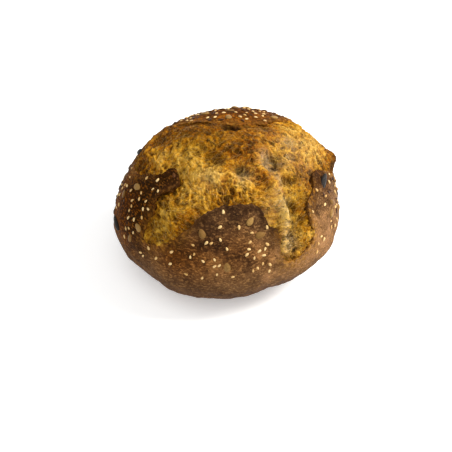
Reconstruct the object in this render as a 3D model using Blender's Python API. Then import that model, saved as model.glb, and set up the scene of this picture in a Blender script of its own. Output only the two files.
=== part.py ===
"""Sunflower seed bread: a small round hearth loaf, slashed crosswise before baking.

The cross tore open in the oven, so four flaps of dark crust stand round a golden star of torn crumb.
Sesame seeds, sunflower kernels and a few seeds in their black hulls are baked onto the flaps.
The loaf is one solid with its seeds fused on. It rests on its flat base, centred on the origin.
Lengths are in millimetres until a mesh is made, and bearings are in degrees from +X towards +Y.
"""

import math
import random

import bmesh
import bpy
import numpy as np
from mathutils import Matrix, Vector, noise

MM = 0.001

# The loaf's plain outer form, before the crust and the crumb are given their relief
LONG_RADIUS = 91.0
SHORT_RADIUS = 84.0
LONG_BEARING = 40.0
GIRTH_HEIGHT = 42.0
CROWN_HEIGHT = 113.0
UNDERSIDE_DEPTH = 53.5
DOME_POWER = 2.1
UNDERSIDE_POWER = 1.88
BASE_ROUNDING = 4.0
# Three slow bulges round the girth, and a base that sits a little to one side of the crown
BULGE, BULGE_BEARING = 1.3, -50.0
LEAN, LEAN_BEARING, LEAN_POWER = 10.0, 200.0, 1.5

# Places on the crust are given as (u, v): the way over the crust from the crown, u along +X and v along +Y
MM_PER_RADIAN = 80.0

# The torn star's edge, counterclockwise from the front flap's left end
TORN_EDGE = (
    (-48, -80), (-32, -74), (-19, -66), (-6, -62), (8, -60), (20, -61), (27, -71), (40, -80), (46, -93),
    (58, -99), (70, -92), (80, -69), (64, -51), (67, -30), (67, -15), (83, 0),
    (98, 16), (96, 36), (80, 53), (54, 51), (36, 33), (20, 17), (5, 12), (-9, 16), (-24, 23), (-42, 32),
    (-60, 34), (-74, 20), (-76, 0), (-67, -16), (-52, -26), (-44, -28), (-38, -25),
    (-35, -33), (-39, -39), (-52, -42), (-59, -53), (-69, -62), (-76, -71), (-64, -79),
)
EDGE_STEPS = 6
EDGE_RAGGEDNESS = 1.6
EDGE_RAG_SIZE = 7.0
CROSS_CENTRE = (18.0, -35.0)

# Where the dough swelled out or sank in as it baked: u, v, half width, height
SWELLS = (
    (106, 4, 22, -4.0),
    (66, 40, 15, -3.5),
    (-116, -106, 34, -3.5),
    (60, -140, 30, -2.0),
    (120, -66, 22, 2.0),
    (-128, -25, 16, 2.2),
    (-86, 14, 14, -2.0),
    (-60, 42, 16, 1.6),
)
# Unevenness all over, which fades out towards the base, and the height below which the base is made level
UNEVEN, UNEVEN_SIZE = 1.2, 34.0
RELIEF_FULL_AT = 12.0
FLAT_BELOW = 0.05
# Crust: blisters, and lips that the crumb pushed up along the tear, higher in some places than in others
BLISTER, BLISTER_SIZE = 0.7, 9.0
LIP_LIFT, LIP_REACH = 1.8, 6.0
LIP_CHANGE, LIP_CHANGE_SIZE = 1.9, 24.0
# The crumb pushed hardest at the cross: lips and steps are full to the first distance, gone at the second
PUSH_FULL, PUSH_END = 45.0, 88.0
# Where crust and crumb blend instead, without a lip or a step: u, v, half width, strength
SOFT_EDGES = (
    (0, 22, 36, 0.85), (-45, 30, 22, 0.6), (-75, 5, 18, 0.4), (-52, -80, 20, 0.75), (-74, -62, 12, 0.6),
    (60, -94, 16, 0.8), (78, -64, 12, 0.7), (75, 42, 34, 0.7), (66, -36, 14, 0.4),
)
# Where the end of a flap stands up: u, v, half width, height
LIFTED = ((-46, -22, 9, 2.8), (12, -65, 10, 0.8))

# Torn crumb: lower than the crust at its edge, bulging between the flaps, drawn into ropes across each arm
EDGE_DROP, LEAST_EDGE_DROP = 2.6, 0.8
EDGE_DROP_WIDTH = 1.5
CRUMB_BULGE, CRUMB_BULGE_REACH = 3.2, 16.0
ROPE, ROPE_WIDTH, ROPE_LENGTH = 1.0, 8.0, 22.0
KNOT, KNOT_SIZE = 0.8, 6.0
WARP, WARP_SIZE = 5.0, 18.0
CREST_SHARPNESS = 2.2

# Burst bubbles in the crumb: u, v, half width, depth
POCKETS = (
    (30, -20, 8.5, 8.0),
    (-11, -21, 7.0, 6.0),
    (-19, -13, 5.0, 2.5),
    (52, -76, 5.0, 2.5),
    (8, -33, 5.0, 4.5),
    (41, -34, 5.0, 4.5),
    (49, -56, 6.0, 6.0),
    (60, -66, 8.0, 4.0),
    (60, -87, 4.0, 1.2),
    (-58, -66, 11.0, 3.0),
    (-2, 8, 3.6, 5.5),
    (3, 5.5, 3.0, 4.0),
    (56, 28, 6.0, 2.5),
    (-52, 6, 6.0, 2.5),
)
# Folds that stand up from the torn crumb: first end, second end, half width, height
FOLDS = (
    ((30, -40), (41, -62), 4.5, 4.0),
    ((41, -62), (48, -90), 4.0, 3.5),
    ((28, -56), (39, -84), 7.0, 2.0),
    ((-5, 8), (14, -4), 13.0, 2.0),
    ((-30, -24), (10, -45), 7.0, 2.5),
    ((20, -31), (31, -42), 3.5, 2.5),
    ((52, -4), (62, 16), 11.0, 2.2),
    ((86, 22), (94, 32), 7.0, 4.0),
)

# Seeds: length, width and thickness, the share that stands out of the crust, and the room each one keeps
SESAME = {"size": (3.0, 1.8, 1.2), "proud": 0.62, "room": 4.0}
KERNEL = {"size": (7.2, 4.8, 2.0), "proud": 0.55, "room": 9.5}
HULLED = {"size": (14.0, 5.6, 3.8), "proud": 0.62, "room": 15.5}
# How much slimmer a seed gets towards its pointed end, and how far it tilts with the crust's relief
SEED_TAPER = 0.22
SEED_TILT = 0.5
# Seeds that lean out of the crust: by how many degrees their pointed end stands up
LEANING = {(77, -18): 24.0}
# The large seeds that lie in known places: u, v, and the bearing of the pointed end on the map
PLACED_HULLED = ((77, -18, 102), (-79, 27, 125), (-112, -35, 100), (38, 84, 20), (-66, 66, 150))
PLACED_KERNELS = (
    (-22, -79, 105), (15, -71, 60), (24, -81, 20), (-3, -109, 95), (-78, -59, 110),
    (96, -38, 95), (31, 34, 45), (-88, -22, 60), (-1, 25, 95), (-19, 40, 150),
)
KERNELS = 24
SESAME_SEEDS = 96
# Where seeds lie thick: u, v, half width and the share of all places taken; the share taken elsewhere
SEED_PATCHES = (
    (0, 62, 56, 0.75), (-14, -88, 14, 1.0), (22, -92, 14, 0.8), (-70, -34, 22, 0.8), (-97, -10, 24, 0.7),
    (84, -30, 14, 0.5),
)
SEEDS_ELSEWHERE = 0.12
# Seeds thin out between these two ways from the crown, and lie at least this far from the torn edge
SEEDS_FULL_TO = 98.0
SEEDS_END = 122.0
SEED_EDGE_GAP = 2.5
DRAW_SEED = 11

FORM_SUBDIVISIONS = 7
LOAF_TRIANGLES = 6000


def clear_scene():
    for obj in list(bpy.data.objects):
        bpy.data.objects.remove(obj)


def smooth_step(value):
    t = np.clip(value, 0.0, 1.0)
    return t * t * (3 - 2 * t)


def noise_field(points, size, layer):
    """Smooth noise from about -1 to 1 at each point, with features of the given size; layers differ."""
    shifted = points / size + 17.3 * layer
    return np.array([noise.noise(p) for p in shifted.tolist()])


def ridged(points, size, layer):
    """Noise that peaks in thin crests: 1 on a crest, and down to 0 between them."""
    return 1.0 - np.minimum(np.abs(noise_field(points, size, layer)) * CREST_SHARPNESS, 1.0)


def plain_form(directions):
    """Points of the plain outer form, one for each direction from the loaf's middle."""
    x, y, z = directions.T
    from_axis = np.hypot(x, y)
    bearing = np.arctan2(y, x) - math.radians(LONG_BEARING)
    radius = 1.0 / np.hypot(np.cos(bearing) / LONG_RADIUS, np.sin(bearing) / SHORT_RADIUS)
    radius += BULGE * np.cos(3 * (np.arctan2(y, x) - math.radians(BULGE_BEARING)))
    upper = z >= 0
    power = np.where(upper, DOME_POWER, UNDERSIDE_POWER)
    reach = np.where(upper, CROWN_HEIGHT - GIRTH_HEIGHT, UNDERSIDE_DEPTH)
    out = radius * from_axis ** (2 / power) / np.maximum(from_axis, 1e-9)
    height = GIRTH_HEIGHT + reach * np.sign(z) * np.abs(z) ** (2 / power)
    # The stone flattens what would lie below it, with a rounded rim
    rim = np.maximum(BASE_ROUNDING - np.abs(height), 0.0) ** 2 / (4 * BASE_ROUNDING)
    height = np.maximum(height, 0.0) + rim
    lean = LEAN * np.clip(1.0 - height / GIRTH_HEIGHT, 0.0, 1.0) ** LEAN_POWER
    lean_x = lean * math.cos(math.radians(LEAN_BEARING))
    lean_y = lean * math.sin(math.radians(LEAN_BEARING))
    return np.stack([x * out + lean_x, y * out + lean_y, height], axis=1)


def form_normals(directions):
    """The plain form's outward normals, from three points close together."""
    pole = np.where(np.abs(directions[:, 2:]) < 0.9, [[0.0, 0.0, 1.0]], [[1.0, 0.0, 0.0]])
    first = np.cross(pole, directions)
    first /= np.linalg.norm(first, axis=1, keepdims=True)
    second = np.cross(directions, first)
    nearby = 0.004
    centre = plain_form(directions)
    normals = np.cross(
        plain_form(unit(directions + nearby * first)) - centre,
        plain_form(unit(directions + nearby * second)) - centre,
    )
    return unit(normals)


def unit(vectors):
    return vectors / np.linalg.norm(vectors, axis=1, keepdims=True)


def unwrap(directions):
    """(u, v) of each direction: the way over the crust from the crown."""
    away = MM_PER_RADIAN * np.arccos(np.clip(directions[:, 2], -1.0, 1.0))
    flat = directions[:, :2] / np.maximum(np.linalg.norm(directions[:, :2], axis=1, keepdims=True), 1e-9)
    return flat * away[:, None]


def wrap(places):
    """The direction of each (u, v)."""
    places = np.asarray(places, float)
    away = np.linalg.norm(places, axis=1)
    angle = away / MM_PER_RADIAN
    flat = places / np.maximum(away, 1e-9)[:, None]
    return np.column_stack([flat * np.sin(angle)[:, None], np.cos(angle)])


def closed_curve(corners, steps):
    """A smooth closed line through the corners, as a Catmull-Rom spline."""
    p = np.asarray(corners, float)
    before, after, beyond = np.roll(p, 1, axis=0), np.roll(p, -1, axis=0), np.roll(p, -2, axis=0)
    line = []
    for step in range(steps):
        t = step / steps
        line.append(
            0.5 * (2 * p + (after - before) * t + (2 * before - 5 * p + 4 * after - beyond) * t**2
                   + (3 * p - before - 3 * after + beyond) * t**3)
        )
    return np.stack(line, axis=1).reshape(-1, 2)


def inside_tear(places):
    """Millimetres from each (u, v) to the torn edge: positive in the crumb and negative on the crust."""
    line = closed_curve(TORN_EDGE, EDGE_STEPS)
    ends = np.roll(line, -1, axis=0)
    nearest = np.full(len(places), np.inf)
    crossings = np.zeros(len(places), int)
    for (ax, ay), (bx, by) in zip(line, ends):
        run, rise = bx - ax, by - ay
        share = ((places[:, 0] - ax) * run + (places[:, 1] - ay) * rise) / (run * run + rise * rise)
        share = np.clip(share, 0.0, 1.0)
        gap = np.hypot(places[:, 0] - ax - share * run, places[:, 1] - ay - share * rise)
        nearest = np.minimum(nearest, gap)
        if ay != by:
            spans = (places[:, 1] < ay) != (places[:, 1] < by)
            crossings += spans & (places[:, 0] < ax + (places[:, 1] - ay) * run / rise)
    distance = np.where(crossings % 2 == 1, nearest, -nearest)
    flat = np.column_stack([places, np.zeros(len(places))])
    return distance + EDGE_RAGGEDNESS * noise_field(flat, EDGE_RAG_SIZE, 1)


def push(places):
    """How hard the crumb pushed at each place: 1 near the cross, down to 0 at the ends of its arms."""
    away = np.linalg.norm(places - np.array(CROSS_CENTRE), axis=1)
    return 1.0 - smooth_step((away - PUSH_FULL) / (PUSH_END - PUSH_FULL))


def blend_of(spots, places):
    """How much each place is covered by the listed spots, from 0 to 1."""
    left = np.ones(len(places))
    for u, v, half_width, strength in spots:
        gap = np.hypot(places[:, 0] - u, places[:, 1] - v) / half_width
        left *= 1.0 - strength * np.exp(-(gap**2))
    return 1.0 - left


def crispness(places):
    """1 where a flap stands up with a sharp edge, down to 0 where crust and crumb blend."""
    return push(places) ** 0.5 * (1.0 - blend_of(SOFT_EDGES, places))


def slow_relief(points, places):
    """The slow swells and hollows that crust and crumb share."""
    relief = UNEVEN * noise_field(points, UNEVEN_SIZE, 3)
    for u, v, half_width, height in SWELLS:
        gap = np.hypot(places[:, 0] - u, places[:, 1] - v) / half_width
        relief += height * np.exp(-(gap**2))
    return relief


def crust_relief(points, places, inside):
    """How far the crust stands off the plain form."""
    lift = LIP_LIFT + LIP_CHANGE * noise_field(points, LIP_CHANGE_SIZE, 2)
    lip = lift * crispness(places) * np.exp(np.minimum(inside, 0.0) / LIP_REACH)
    for u, v, half_width, height in LIFTED:
        gap = np.hypot(places[:, 0] - u, places[:, 1] - v) / half_width
        lip += height * np.exp(-(gap**2))
    blister = BLISTER * noise_field(points, BLISTER_SIZE, 4)
    return lip + blister


def fold_height(places, fold):
    """A rounded ridge from one place to another, fading at its ends."""
    first, second, half_width, height = fold
    start, way = np.array(first, float), np.array(second, float) - np.array(first, float)
    share = np.clip((places - start) @ way / (way @ way), 0.0, 1.0)
    gap = np.linalg.norm(places - start - share[:, None] * way, axis=1)
    return height * np.exp(-((gap / half_width) ** 2))


def rope_places(places, points):
    """Places for noise that changes fast along an arm and slowly across it, so ropes lie across the arm."""
    shift = WARP * np.column_stack([noise_field(points, WARP_SIZE, layer) for layer in (5, 6)])
    offset = places + shift - np.array(CROSS_CENTRE)
    along_arm = np.linalg.norm(offset, axis=1)
    return np.column_stack([along_arm / ROPE_WIDTH, offset / ROPE_LENGTH])


def crumb_relief(points, places, inside):
    """How far the torn crumb stands off the plain form."""
    drop = LEAST_EDGE_DROP + (EDGE_DROP - LEAST_EDGE_DROP) * crispness(places)
    rise = CRUMB_BULGE * smooth_step(inside / CRUMB_BULGE_REACH) - drop
    rise += ROPE * (ridged(rope_places(places, points), 1.0, 7) - 0.5)
    rise += KNOT * (ridged(points, KNOT_SIZE, 8) - 0.5)
    for fold in FOLDS:
        rise += fold_height(places, fold)
    for u, v, half_width, depth in POCKETS:
        gap = np.hypot(places[:, 0] - u, places[:, 1] - v) / half_width
        rise -= depth * np.exp(-(gap**4))
    return rise


def loaf_surface(directions):
    """Points of the baked loaf's surface, one for each direction from its middle."""
    points = plain_form(directions)
    places = unwrap(directions)
    inside = inside_tear(places)
    torn = smooth_step(inside / EDGE_DROP_WIDTH)
    relief = (1 - torn) * crust_relief(points, places, inside)
    near = inside > -1.0
    relief[near] += torn[near] * crumb_relief(points[near], places[near], inside[near])
    relief += slow_relief(points, places)
    relief *= smooth_step(points[:, 2] / RELIEF_FULL_AT)
    return points + relief[:, None] * form_normals(directions)


def make_material(name, colour, roughness):
    material = bpy.data.materials.new(name)
    material.use_nodes = True
    shader = material.node_tree.nodes["Principled BSDF"]
    shader.inputs["Base Color"].default_value = (*colour, 1.0)
    shader.inputs["Roughness"].default_value = roughness
    shader.inputs["Metallic"].default_value = 0.0
    return material


def make_object(name, mesh, collection, material):
    obj = bpy.data.objects.new(name, mesh)
    mesh.materials.append(material)
    collection.objects.link(obj)
    return obj


def apply_modifiers(obj):
    """Puts what the modifiers make into the object's own mesh."""
    bpy.context.view_layer.update()
    graph = bpy.context.evaluated_depsgraph_get()
    made = bpy.data.meshes.new_from_object(obj.evaluated_get(graph))
    obj.modifiers.clear()
    obj.data = made


def make_loaf(collection, material):
    """The loaf without seeds: a fine sphere shaped by loaf_surface, then thinned where it is smooth."""
    bm = bmesh.new()
    bmesh.ops.create_icosphere(bm, subdivisions=FORM_SUBDIVISIONS, radius=1.0)
    directions = unit(np.array([vertex.co for vertex in bm.verts], float))
    for vertex, point in zip(bm.verts, loaf_surface(directions)):
        vertex.co = Vector(point) * MM
    triangles = len(bm.faces)
    mesh = bpy.data.meshes.new("loaf")
    bm.to_mesh(mesh)
    bm.free()
    loaf = make_object("loaf", mesh, collection, material)
    thin = loaf.modifiers.new("thin", "DECIMATE")
    thin.ratio = LOAF_TRIANGLES / triangles
    apply_modifiers(loaf)
    for vertex in loaf.data.vertices:
        if vertex.co.z < FLAT_BELOW * MM:
            vertex.co.z = 0.0
    return loaf


def seediness(u, v):
    """How likely a seed is to lie at a place, from 0 to 1."""
    away = math.hypot(u, v)
    patches = [
        share * math.exp(-((u - patch_u) ** 2 + (v - patch_v) ** 2) / half_width**2)
        for patch_u, patch_v, half_width, share in SEED_PATCHES
    ]
    thinning = 1.0 - (away - SEEDS_FULL_TO) / (SEEDS_END - SEEDS_FULL_TO)
    return min(thinning, max(SEEDS_ELSEWHERE, *patches))


def draw_places(count, room, taken, draw):
    """Random places on the crust, clear of the tear and of what is taken, as thick as seeds lie there."""
    found = []
    while len(found) < count:
        place = (draw.uniform(-SEEDS_END, SEEDS_END), draw.uniform(-SEEDS_END, SEEDS_END))
        heading = draw.uniform(0, 360)
        if draw.random() > seediness(*place):
            continue
        if any(math.dist(place, other) < (room + other_room) / 2 for other, other_room in taken):
            continue
        if inside_tear(np.array([place]))[0] > -SEED_EDGE_GAP:
            continue
        taken.append((place, room))
        found.append((*place, heading))
    return found


def seed_matrix(place, heading, lift):
    """Where a seed lies on the crust at (u, v), its pointed end towards the heading on the map."""
    u, v = place
    around = wrap([(u, v), (u + 1.0, v), (u, v + 1.0)])
    here, along, beside = (Vector(point) for point in loaf_surface(around))
    plain = Vector(form_normals(around[:1])[0])
    tilted = (along - here).cross(beside - here).normalized()
    normal = (plain + SEED_TILT * tilted).normalized()
    bearing = math.radians(heading)
    ahead = math.cos(bearing) * (along - here) + math.sin(bearing) * (beside - here)
    width_way = normal.cross(ahead).normalized()
    length_way = width_way.cross(normal)
    lean = Matrix.Rotation(-math.radians(LEANING.get(place, 0.0)), 3, width_way)
    turn = Matrix((lean @ length_way, width_way, lean @ normal)).transposed().to_4x4()
    return Matrix.Translation((here + lift * normal) * MM) @ turn


def make_seed(name, kind, place, heading, collection, material):
    """A flat drop-shaped seed, half sunk in the crust."""
    length, width, thickness = kind["size"]
    bm = bmesh.new()
    if kind is SESAME:
        bmesh.ops.create_icosphere(bm, subdivisions=1, radius=1.0)
    else:
        bmesh.ops.create_uvsphere(bm, u_segments=6, v_segments=5, radius=1.0)
        bmesh.ops.rotate(bm, cent=(0, 0, 0), matrix=Matrix.Rotation(math.pi / 2, 3, "Y"), verts=bm.verts)
    for vertex in bm.verts:
        x, y, z = vertex.co
        taper = 1.0 - SEED_TAPER * x
        vertex.co = Vector((x * length / 2, y * taper * width / 2, z * taper * thickness / 2)) * MM
    lift = (kind["proud"] - 0.5) * thickness
    bm.transform(seed_matrix(place, heading, lift))
    bmesh.ops.recalc_face_normals(bm, faces=bm.faces)
    mesh = bpy.data.meshes.new(name)
    bm.to_mesh(mesh)
    bm.free()
    return make_object(name, mesh, collection, material)


def seed_places():
    """Every seed as (kind, u, v, heading): first the large ones, then the sesame."""
    draw = random.Random(DRAW_SEED)
    taken = [((u, v), HULLED["room"]) for u, v, _ in PLACED_HULLED]
    taken += [((u, v), KERNEL["room"]) for u, v, _ in PLACED_KERNELS]
    found = [(HULLED, *place) for place in PLACED_HULLED]
    found += [(KERNEL, *place) for place in PLACED_KERNELS]
    more = KERNELS - len(PLACED_KERNELS)
    found += [(KERNEL, *place) for place in draw_places(more, KERNEL["room"], taken, draw)]
    found += [(SESAME, *place) for place in draw_places(SESAME_SEEDS, SESAME["room"], taken, draw)]
    return found


def fuse(loaf, seeds):
    """Joins every seed in the collection to the loaf, and removes the loose seeds."""
    union = loaf.modifiers.new("seeds", "BOOLEAN")
    union.operation = "UNION"
    union.operand_type = "COLLECTION"
    union.collection = seeds
    union.solver = "MANIFOLD"
    apply_modifiers(loaf)
    for obj in list(seeds.objects):
        bpy.data.objects.remove(obj)
    bpy.data.collections.remove(seeds)


def keep_main_shell(mesh):
    """Removes loose scraps, and the walls of hollows that fusing sealed, which fills them."""
    bm = bmesh.new()
    bm.from_mesh(mesh)
    left = set(bm.verts)
    shells = []
    while left:
        shell, edge = set(), [left.pop()]
        while edge:
            vertex = edge.pop()
            shell.add(vertex)
            near = {e.other_vert(vertex) for e in vertex.link_edges} & left
            left -= near
            edge.extend(near)
        shells.append(shell)
    shells.sort(key=len)
    for shell in shells[:-1]:
        bmesh.ops.delete(bm, geom=list(shell), context="VERTS")
    bm.to_mesh(mesh)
    bm.free()


def main():
    clear_scene()
    bread = bpy.data.collections.new("sunflower_seed_bread")
    seeds = bpy.data.collections.new("loose_seeds")
    bpy.context.scene.collection.children.link(bread)
    bpy.context.scene.collection.children.link(seeds)
    crust = make_material("crust", (0.17, 0.07, 0.02), 0.75)
    hull = make_material("seed", (0.55, 0.36, 0.16), 0.5)
    loaf = make_loaf(bread, crust)
    for number, (kind, u, v, heading) in enumerate(seed_places()):
        make_seed(f"seed_{number:03d}", kind, (u, v), heading, seeds, hull)
    fuse(loaf, seeds)
    keep_main_shell(loaf.data)
    loaf.data.materials.clear()
    loaf.data.materials.append(crust)
    loaf.data.shade_smooth()
    loaf.data.set_sharp_from_angle(angle=math.radians(40))


main()
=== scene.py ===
# %% [markdown]
# # Sunflower seed bread
#
# The loaf is a small round one, slashed crosswise before it went into the oven. The cross tore open, so four
# flaps of dark crust stand round a golden star of torn crumb, and seeds are baked onto the flaps.
#
# The solid model gives the loaf's size and place. This scene dresses it: a finer crust, a finer torn crumb,
# seeds of each kind, loose threads of crumb, and a material for each of them.

# %% The solid model
import math
import random

import bmesh
import bpy
import numpy as np
from mathutils import Matrix, Vector, noise


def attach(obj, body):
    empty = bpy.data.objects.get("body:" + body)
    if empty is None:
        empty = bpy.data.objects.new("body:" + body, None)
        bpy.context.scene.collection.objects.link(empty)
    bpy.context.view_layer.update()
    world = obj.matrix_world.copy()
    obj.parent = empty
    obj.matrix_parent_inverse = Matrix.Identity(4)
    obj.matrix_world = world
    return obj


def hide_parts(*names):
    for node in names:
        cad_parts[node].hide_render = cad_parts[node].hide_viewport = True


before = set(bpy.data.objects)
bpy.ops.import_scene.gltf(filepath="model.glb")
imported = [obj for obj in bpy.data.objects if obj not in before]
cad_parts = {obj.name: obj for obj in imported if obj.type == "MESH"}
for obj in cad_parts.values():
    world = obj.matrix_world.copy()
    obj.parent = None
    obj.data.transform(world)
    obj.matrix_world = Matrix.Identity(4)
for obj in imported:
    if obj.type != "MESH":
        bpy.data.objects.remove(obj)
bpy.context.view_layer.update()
MM = 0.001

# %% [markdown]
# ## Camera
#
# The photograph looks down at the loaf from the front, at about 42 degrees. A long lens keeps the round form
# from bulging towards the camera.

# %% Camera
ELEVATION = 42.0
DISTANCE = 0.9
FOCAL_LENGTH = 90.0
AIM = Vector((-3.1, -3.7, 25.8)) * MM


def put_in_scene(name, data):
    obj = bpy.data.objects.new(name, data)
    bpy.context.scene.collection.objects.link(obj)
    return obj


def make_camera():
    camera = put_in_scene("camera", bpy.data.cameras.new("camera"))
    tilt = math.radians(ELEVATION)
    away = Vector((0.0, -math.cos(tilt), math.sin(tilt)))
    camera.location = AIM + DISTANCE * away
    camera.rotation_euler = away.to_track_quat("Z", "Y").to_euler()
    camera.data.lens = FOCAL_LENGTH
    camera.data.clip_start = 0.01
    bpy.context.scene.camera = camera


make_camera()

# %% [markdown]
# ## The plain form
#
# A loaf that rose freely on a stone is a dome over a rounder underside that the stone flattened. One function
# gives the point of that form in each direction from the loaf's middle. Crust, crumb and seeds all ask the
# same function, so they fit together however fine their meshes are.

# %% The plain form
LONG_RADIUS = 91.0
SHORT_RADIUS = 84.0
LONG_BEARING = 40.0
GIRTH_HEIGHT = 42.0
CROWN_HEIGHT = 113.0
UNDERSIDE_DEPTH = 53.5
DOME_POWER = 2.1
UNDERSIDE_POWER = 1.88
BASE_ROUNDING = 4.0
BULGE, BULGE_BEARING = 1.3, -50.0
LEAN, LEAN_BEARING, LEAN_POWER = 10.0, 200.0, 1.5


def unit(vectors):
    return vectors / np.maximum(np.linalg.norm(vectors, axis=1, keepdims=True), 1e-12)


def smooth_step(value):
    t = np.clip(value, 0.0, 1.0)
    return t * t * (3 - 2 * t)


def plain_form(directions):
    """Points of the plain outer form in millimetres, one for each direction from the loaf's middle."""
    x, y, z = directions.T
    from_axis = np.hypot(x, y)
    bearing = np.arctan2(y, x) - math.radians(LONG_BEARING)
    radius = 1.0 / np.hypot(np.cos(bearing) / LONG_RADIUS, np.sin(bearing) / SHORT_RADIUS)
    radius += BULGE * np.cos(3 * (np.arctan2(y, x) - math.radians(BULGE_BEARING)))
    upper = z >= 0
    power = np.where(upper, DOME_POWER, UNDERSIDE_POWER)
    reach = np.where(upper, CROWN_HEIGHT - GIRTH_HEIGHT, UNDERSIDE_DEPTH)
    out = radius * from_axis ** (2 / power) / np.maximum(from_axis, 1e-9)
    height = GIRTH_HEIGHT + reach * np.sign(z) * np.abs(z) ** (2 / power)
    rim = np.maximum(BASE_ROUNDING - np.abs(height), 0.0) ** 2 / (4 * BASE_ROUNDING)
    height = np.maximum(height, 0.0) + rim
    lean = LEAN * np.clip(1.0 - height / GIRTH_HEIGHT, 0.0, 1.0) ** LEAN_POWER
    lean_x = lean * math.cos(math.radians(LEAN_BEARING))
    lean_y = lean * math.sin(math.radians(LEAN_BEARING))
    return np.stack([x * out + lean_x, y * out + lean_y, height], axis=1)


def form_normals(directions):
    """The plain form's outward normals, from three points close together."""
    pole = np.where(np.abs(directions[:, 2:]) < 0.9, [[0.0, 0.0, 1.0]], [[1.0, 0.0, 0.0]])
    first = unit(np.cross(pole, directions))
    second = np.cross(directions, first)
    nearby = 0.004
    centre = plain_form(directions)
    along = plain_form(unit(directions + nearby * first)) - centre
    beside = plain_form(unit(directions + nearby * second)) - centre
    return unit(np.cross(along, beside))


def raised(directions, heights):
    """Points that stand off the plain form by the given heights, along its normals."""
    return plain_form(directions) + heights[:, None] * form_normals(directions)


# %% [markdown]
# ## A map of the crust
#
# The tear is easier to draw on a flat map. A place (u, v) is how far to go over the crust from the crown,
# with u towards +X and v towards +Y. `wrap` rolls the map onto the loaf and `unwrap` rolls it off again.

# %% A map of the crust
MM_PER_RADIAN = 80.0


def unwrap(directions):
    """(u, v) of each direction: the way over the crust from the crown."""
    away = MM_PER_RADIAN * np.arccos(np.clip(directions[:, 2], -1.0, 1.0))
    flat = directions[:, :2] / np.maximum(np.linalg.norm(directions[:, :2], axis=1, keepdims=True), 1e-9)
    return flat * away[:, None]


def wrap(places):
    """The direction of each (u, v)."""
    places = np.asarray(places, float)
    away = np.linalg.norm(places, axis=1)
    angle = away / MM_PER_RADIAN
    flat = places / np.maximum(away, 1e-9)[:, None]
    return np.column_stack([flat * np.sin(angle)[:, None], np.cos(angle)])


# %% [markdown]
# Noise gives all that is uneven in a crust. Every layer of it is shifted, so no two effects rise and fall
# together, and it is the same in every run. Ridged noise peaks in thin crests, like stretched threads of
# dough.

# %% Noise
CREST_SHARPNESS = 2.2
LAYER_SHIFT = 17.3


def noise_field(points, size, layer):
    """Smooth noise from about -1 to 1 at each point, with features of the given size."""
    shifted = points / size + LAYER_SHIFT * layer
    return np.array([noise.noise(p) for p in shifted.tolist()])


def map_noise(places, size, layer):
    """The same for places on the map."""
    return noise_field(np.column_stack([places, np.zeros(len(places))]), size, layer)


def wander(points, size, layers):
    """A shift of each point, with one layer of noise for each direction."""
    return np.column_stack([noise_field(points, size, layer) for layer in layers])


def ridged(points, size, layer):
    """Noise that peaks in thin crests: 1 on a crest, and down to 0 between them."""
    return 1.0 - np.minimum(np.abs(noise_field(points, size, layer)) * CREST_SHARPNESS, 1.0)


# %% [markdown]
# ## The tear
#
# The four flaps meet the torn star along one closed line. A few corners and a smooth curve through them give
# that line. What matters at each place is how far inside the tear it lies: the crust lifts towards the line,
# the crumb drops behind it, and the colours follow. Spots on the map, each with a half width, say where
# something is stronger or weaker. The lists of places below are lists of such spots.

# %% The torn edge
TORN_EDGE = (
    (-48, -80), (-32, -74), (-19, -66), (-6, -62), (8, -60), (20, -61), (27, -71), (40, -80), (46, -93),
    (58, -99), (70, -92), (80, -69), (64, -51), (67, -30), (67, -15), (83, 0),
    (98, 16), (96, 36), (80, 53), (54, 51), (36, 33), (20, 17), (5, 12), (-9, 16), (-24, 23), (-42, 32),
    (-60, 34), (-74, 20), (-76, 0), (-67, -16), (-52, -26), (-44, -28), (-38, -25),
    (-35, -33), (-39, -39), (-52, -42), (-59, -53), (-69, -62), (-76, -71), (-64, -79),
)
EDGE_STEPS = 6
EDGE_RAGGEDNESS = 1.6
EDGE_RAG_SIZE = 7.0
CROSS_CENTRE = (18.0, -35.0)
PUSH_FULL, PUSH_END = 45.0, 88.0
# Where the edge is soft: u, v, half width, strength
SOFT_EDGES = (
    (0, 22, 36, 0.85), (-45, 30, 22, 0.6), (-75, 5, 18, 0.4), (-52, -80, 20, 0.75), (-74, -62, 12, 0.6),
    (60, -94, 16, 0.8), (78, -64, 12, 0.7), (75, 42, 34, 0.7), (66, -36, 14, 0.4),
)


def closed_curve(corners, steps):
    """A smooth closed line through the corners, as a Catmull-Rom spline."""
    p = np.asarray(corners, float)
    before, after, beyond = np.roll(p, 1, axis=0), np.roll(p, -1, axis=0), np.roll(p, -2, axis=0)
    line = []
    for step in range(steps):
        t = step / steps
        line.append(
            0.5 * (2 * p + (after - before) * t + (2 * before - 5 * p + 4 * after - beyond) * t**2
                   + (3 * p - before - 3 * after + beyond) * t**3)
        )
    return np.stack(line, axis=1).reshape(-1, 2)


def inside_tear(places):
    """Millimetres from each (u, v) to the torn edge: positive in the crumb and negative on the crust."""
    line = closed_curve(TORN_EDGE, EDGE_STEPS)
    ends = np.roll(line, -1, axis=0)
    nearest = np.full(len(places), np.inf)
    crossings = np.zeros(len(places), int)
    for (ax, ay), (bx, by) in zip(line, ends):
        run, rise = bx - ax, by - ay
        share = ((places[:, 0] - ax) * run + (places[:, 1] - ay) * rise) / (run * run + rise * rise)
        share = np.clip(share, 0.0, 1.0)
        gap = np.hypot(places[:, 0] - ax - share * run, places[:, 1] - ay - share * rise)
        nearest = np.minimum(nearest, gap)
        if ay != by:
            spans = (places[:, 1] < ay) != (places[:, 1] < by)
            crossings += spans & (places[:, 0] < ax + (places[:, 1] - ay) * run / rise)
    distance = np.where(crossings % 2 == 1, nearest, -nearest)
    return distance + EDGE_RAGGEDNESS * map_noise(places, EDGE_RAG_SIZE, 1)


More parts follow.
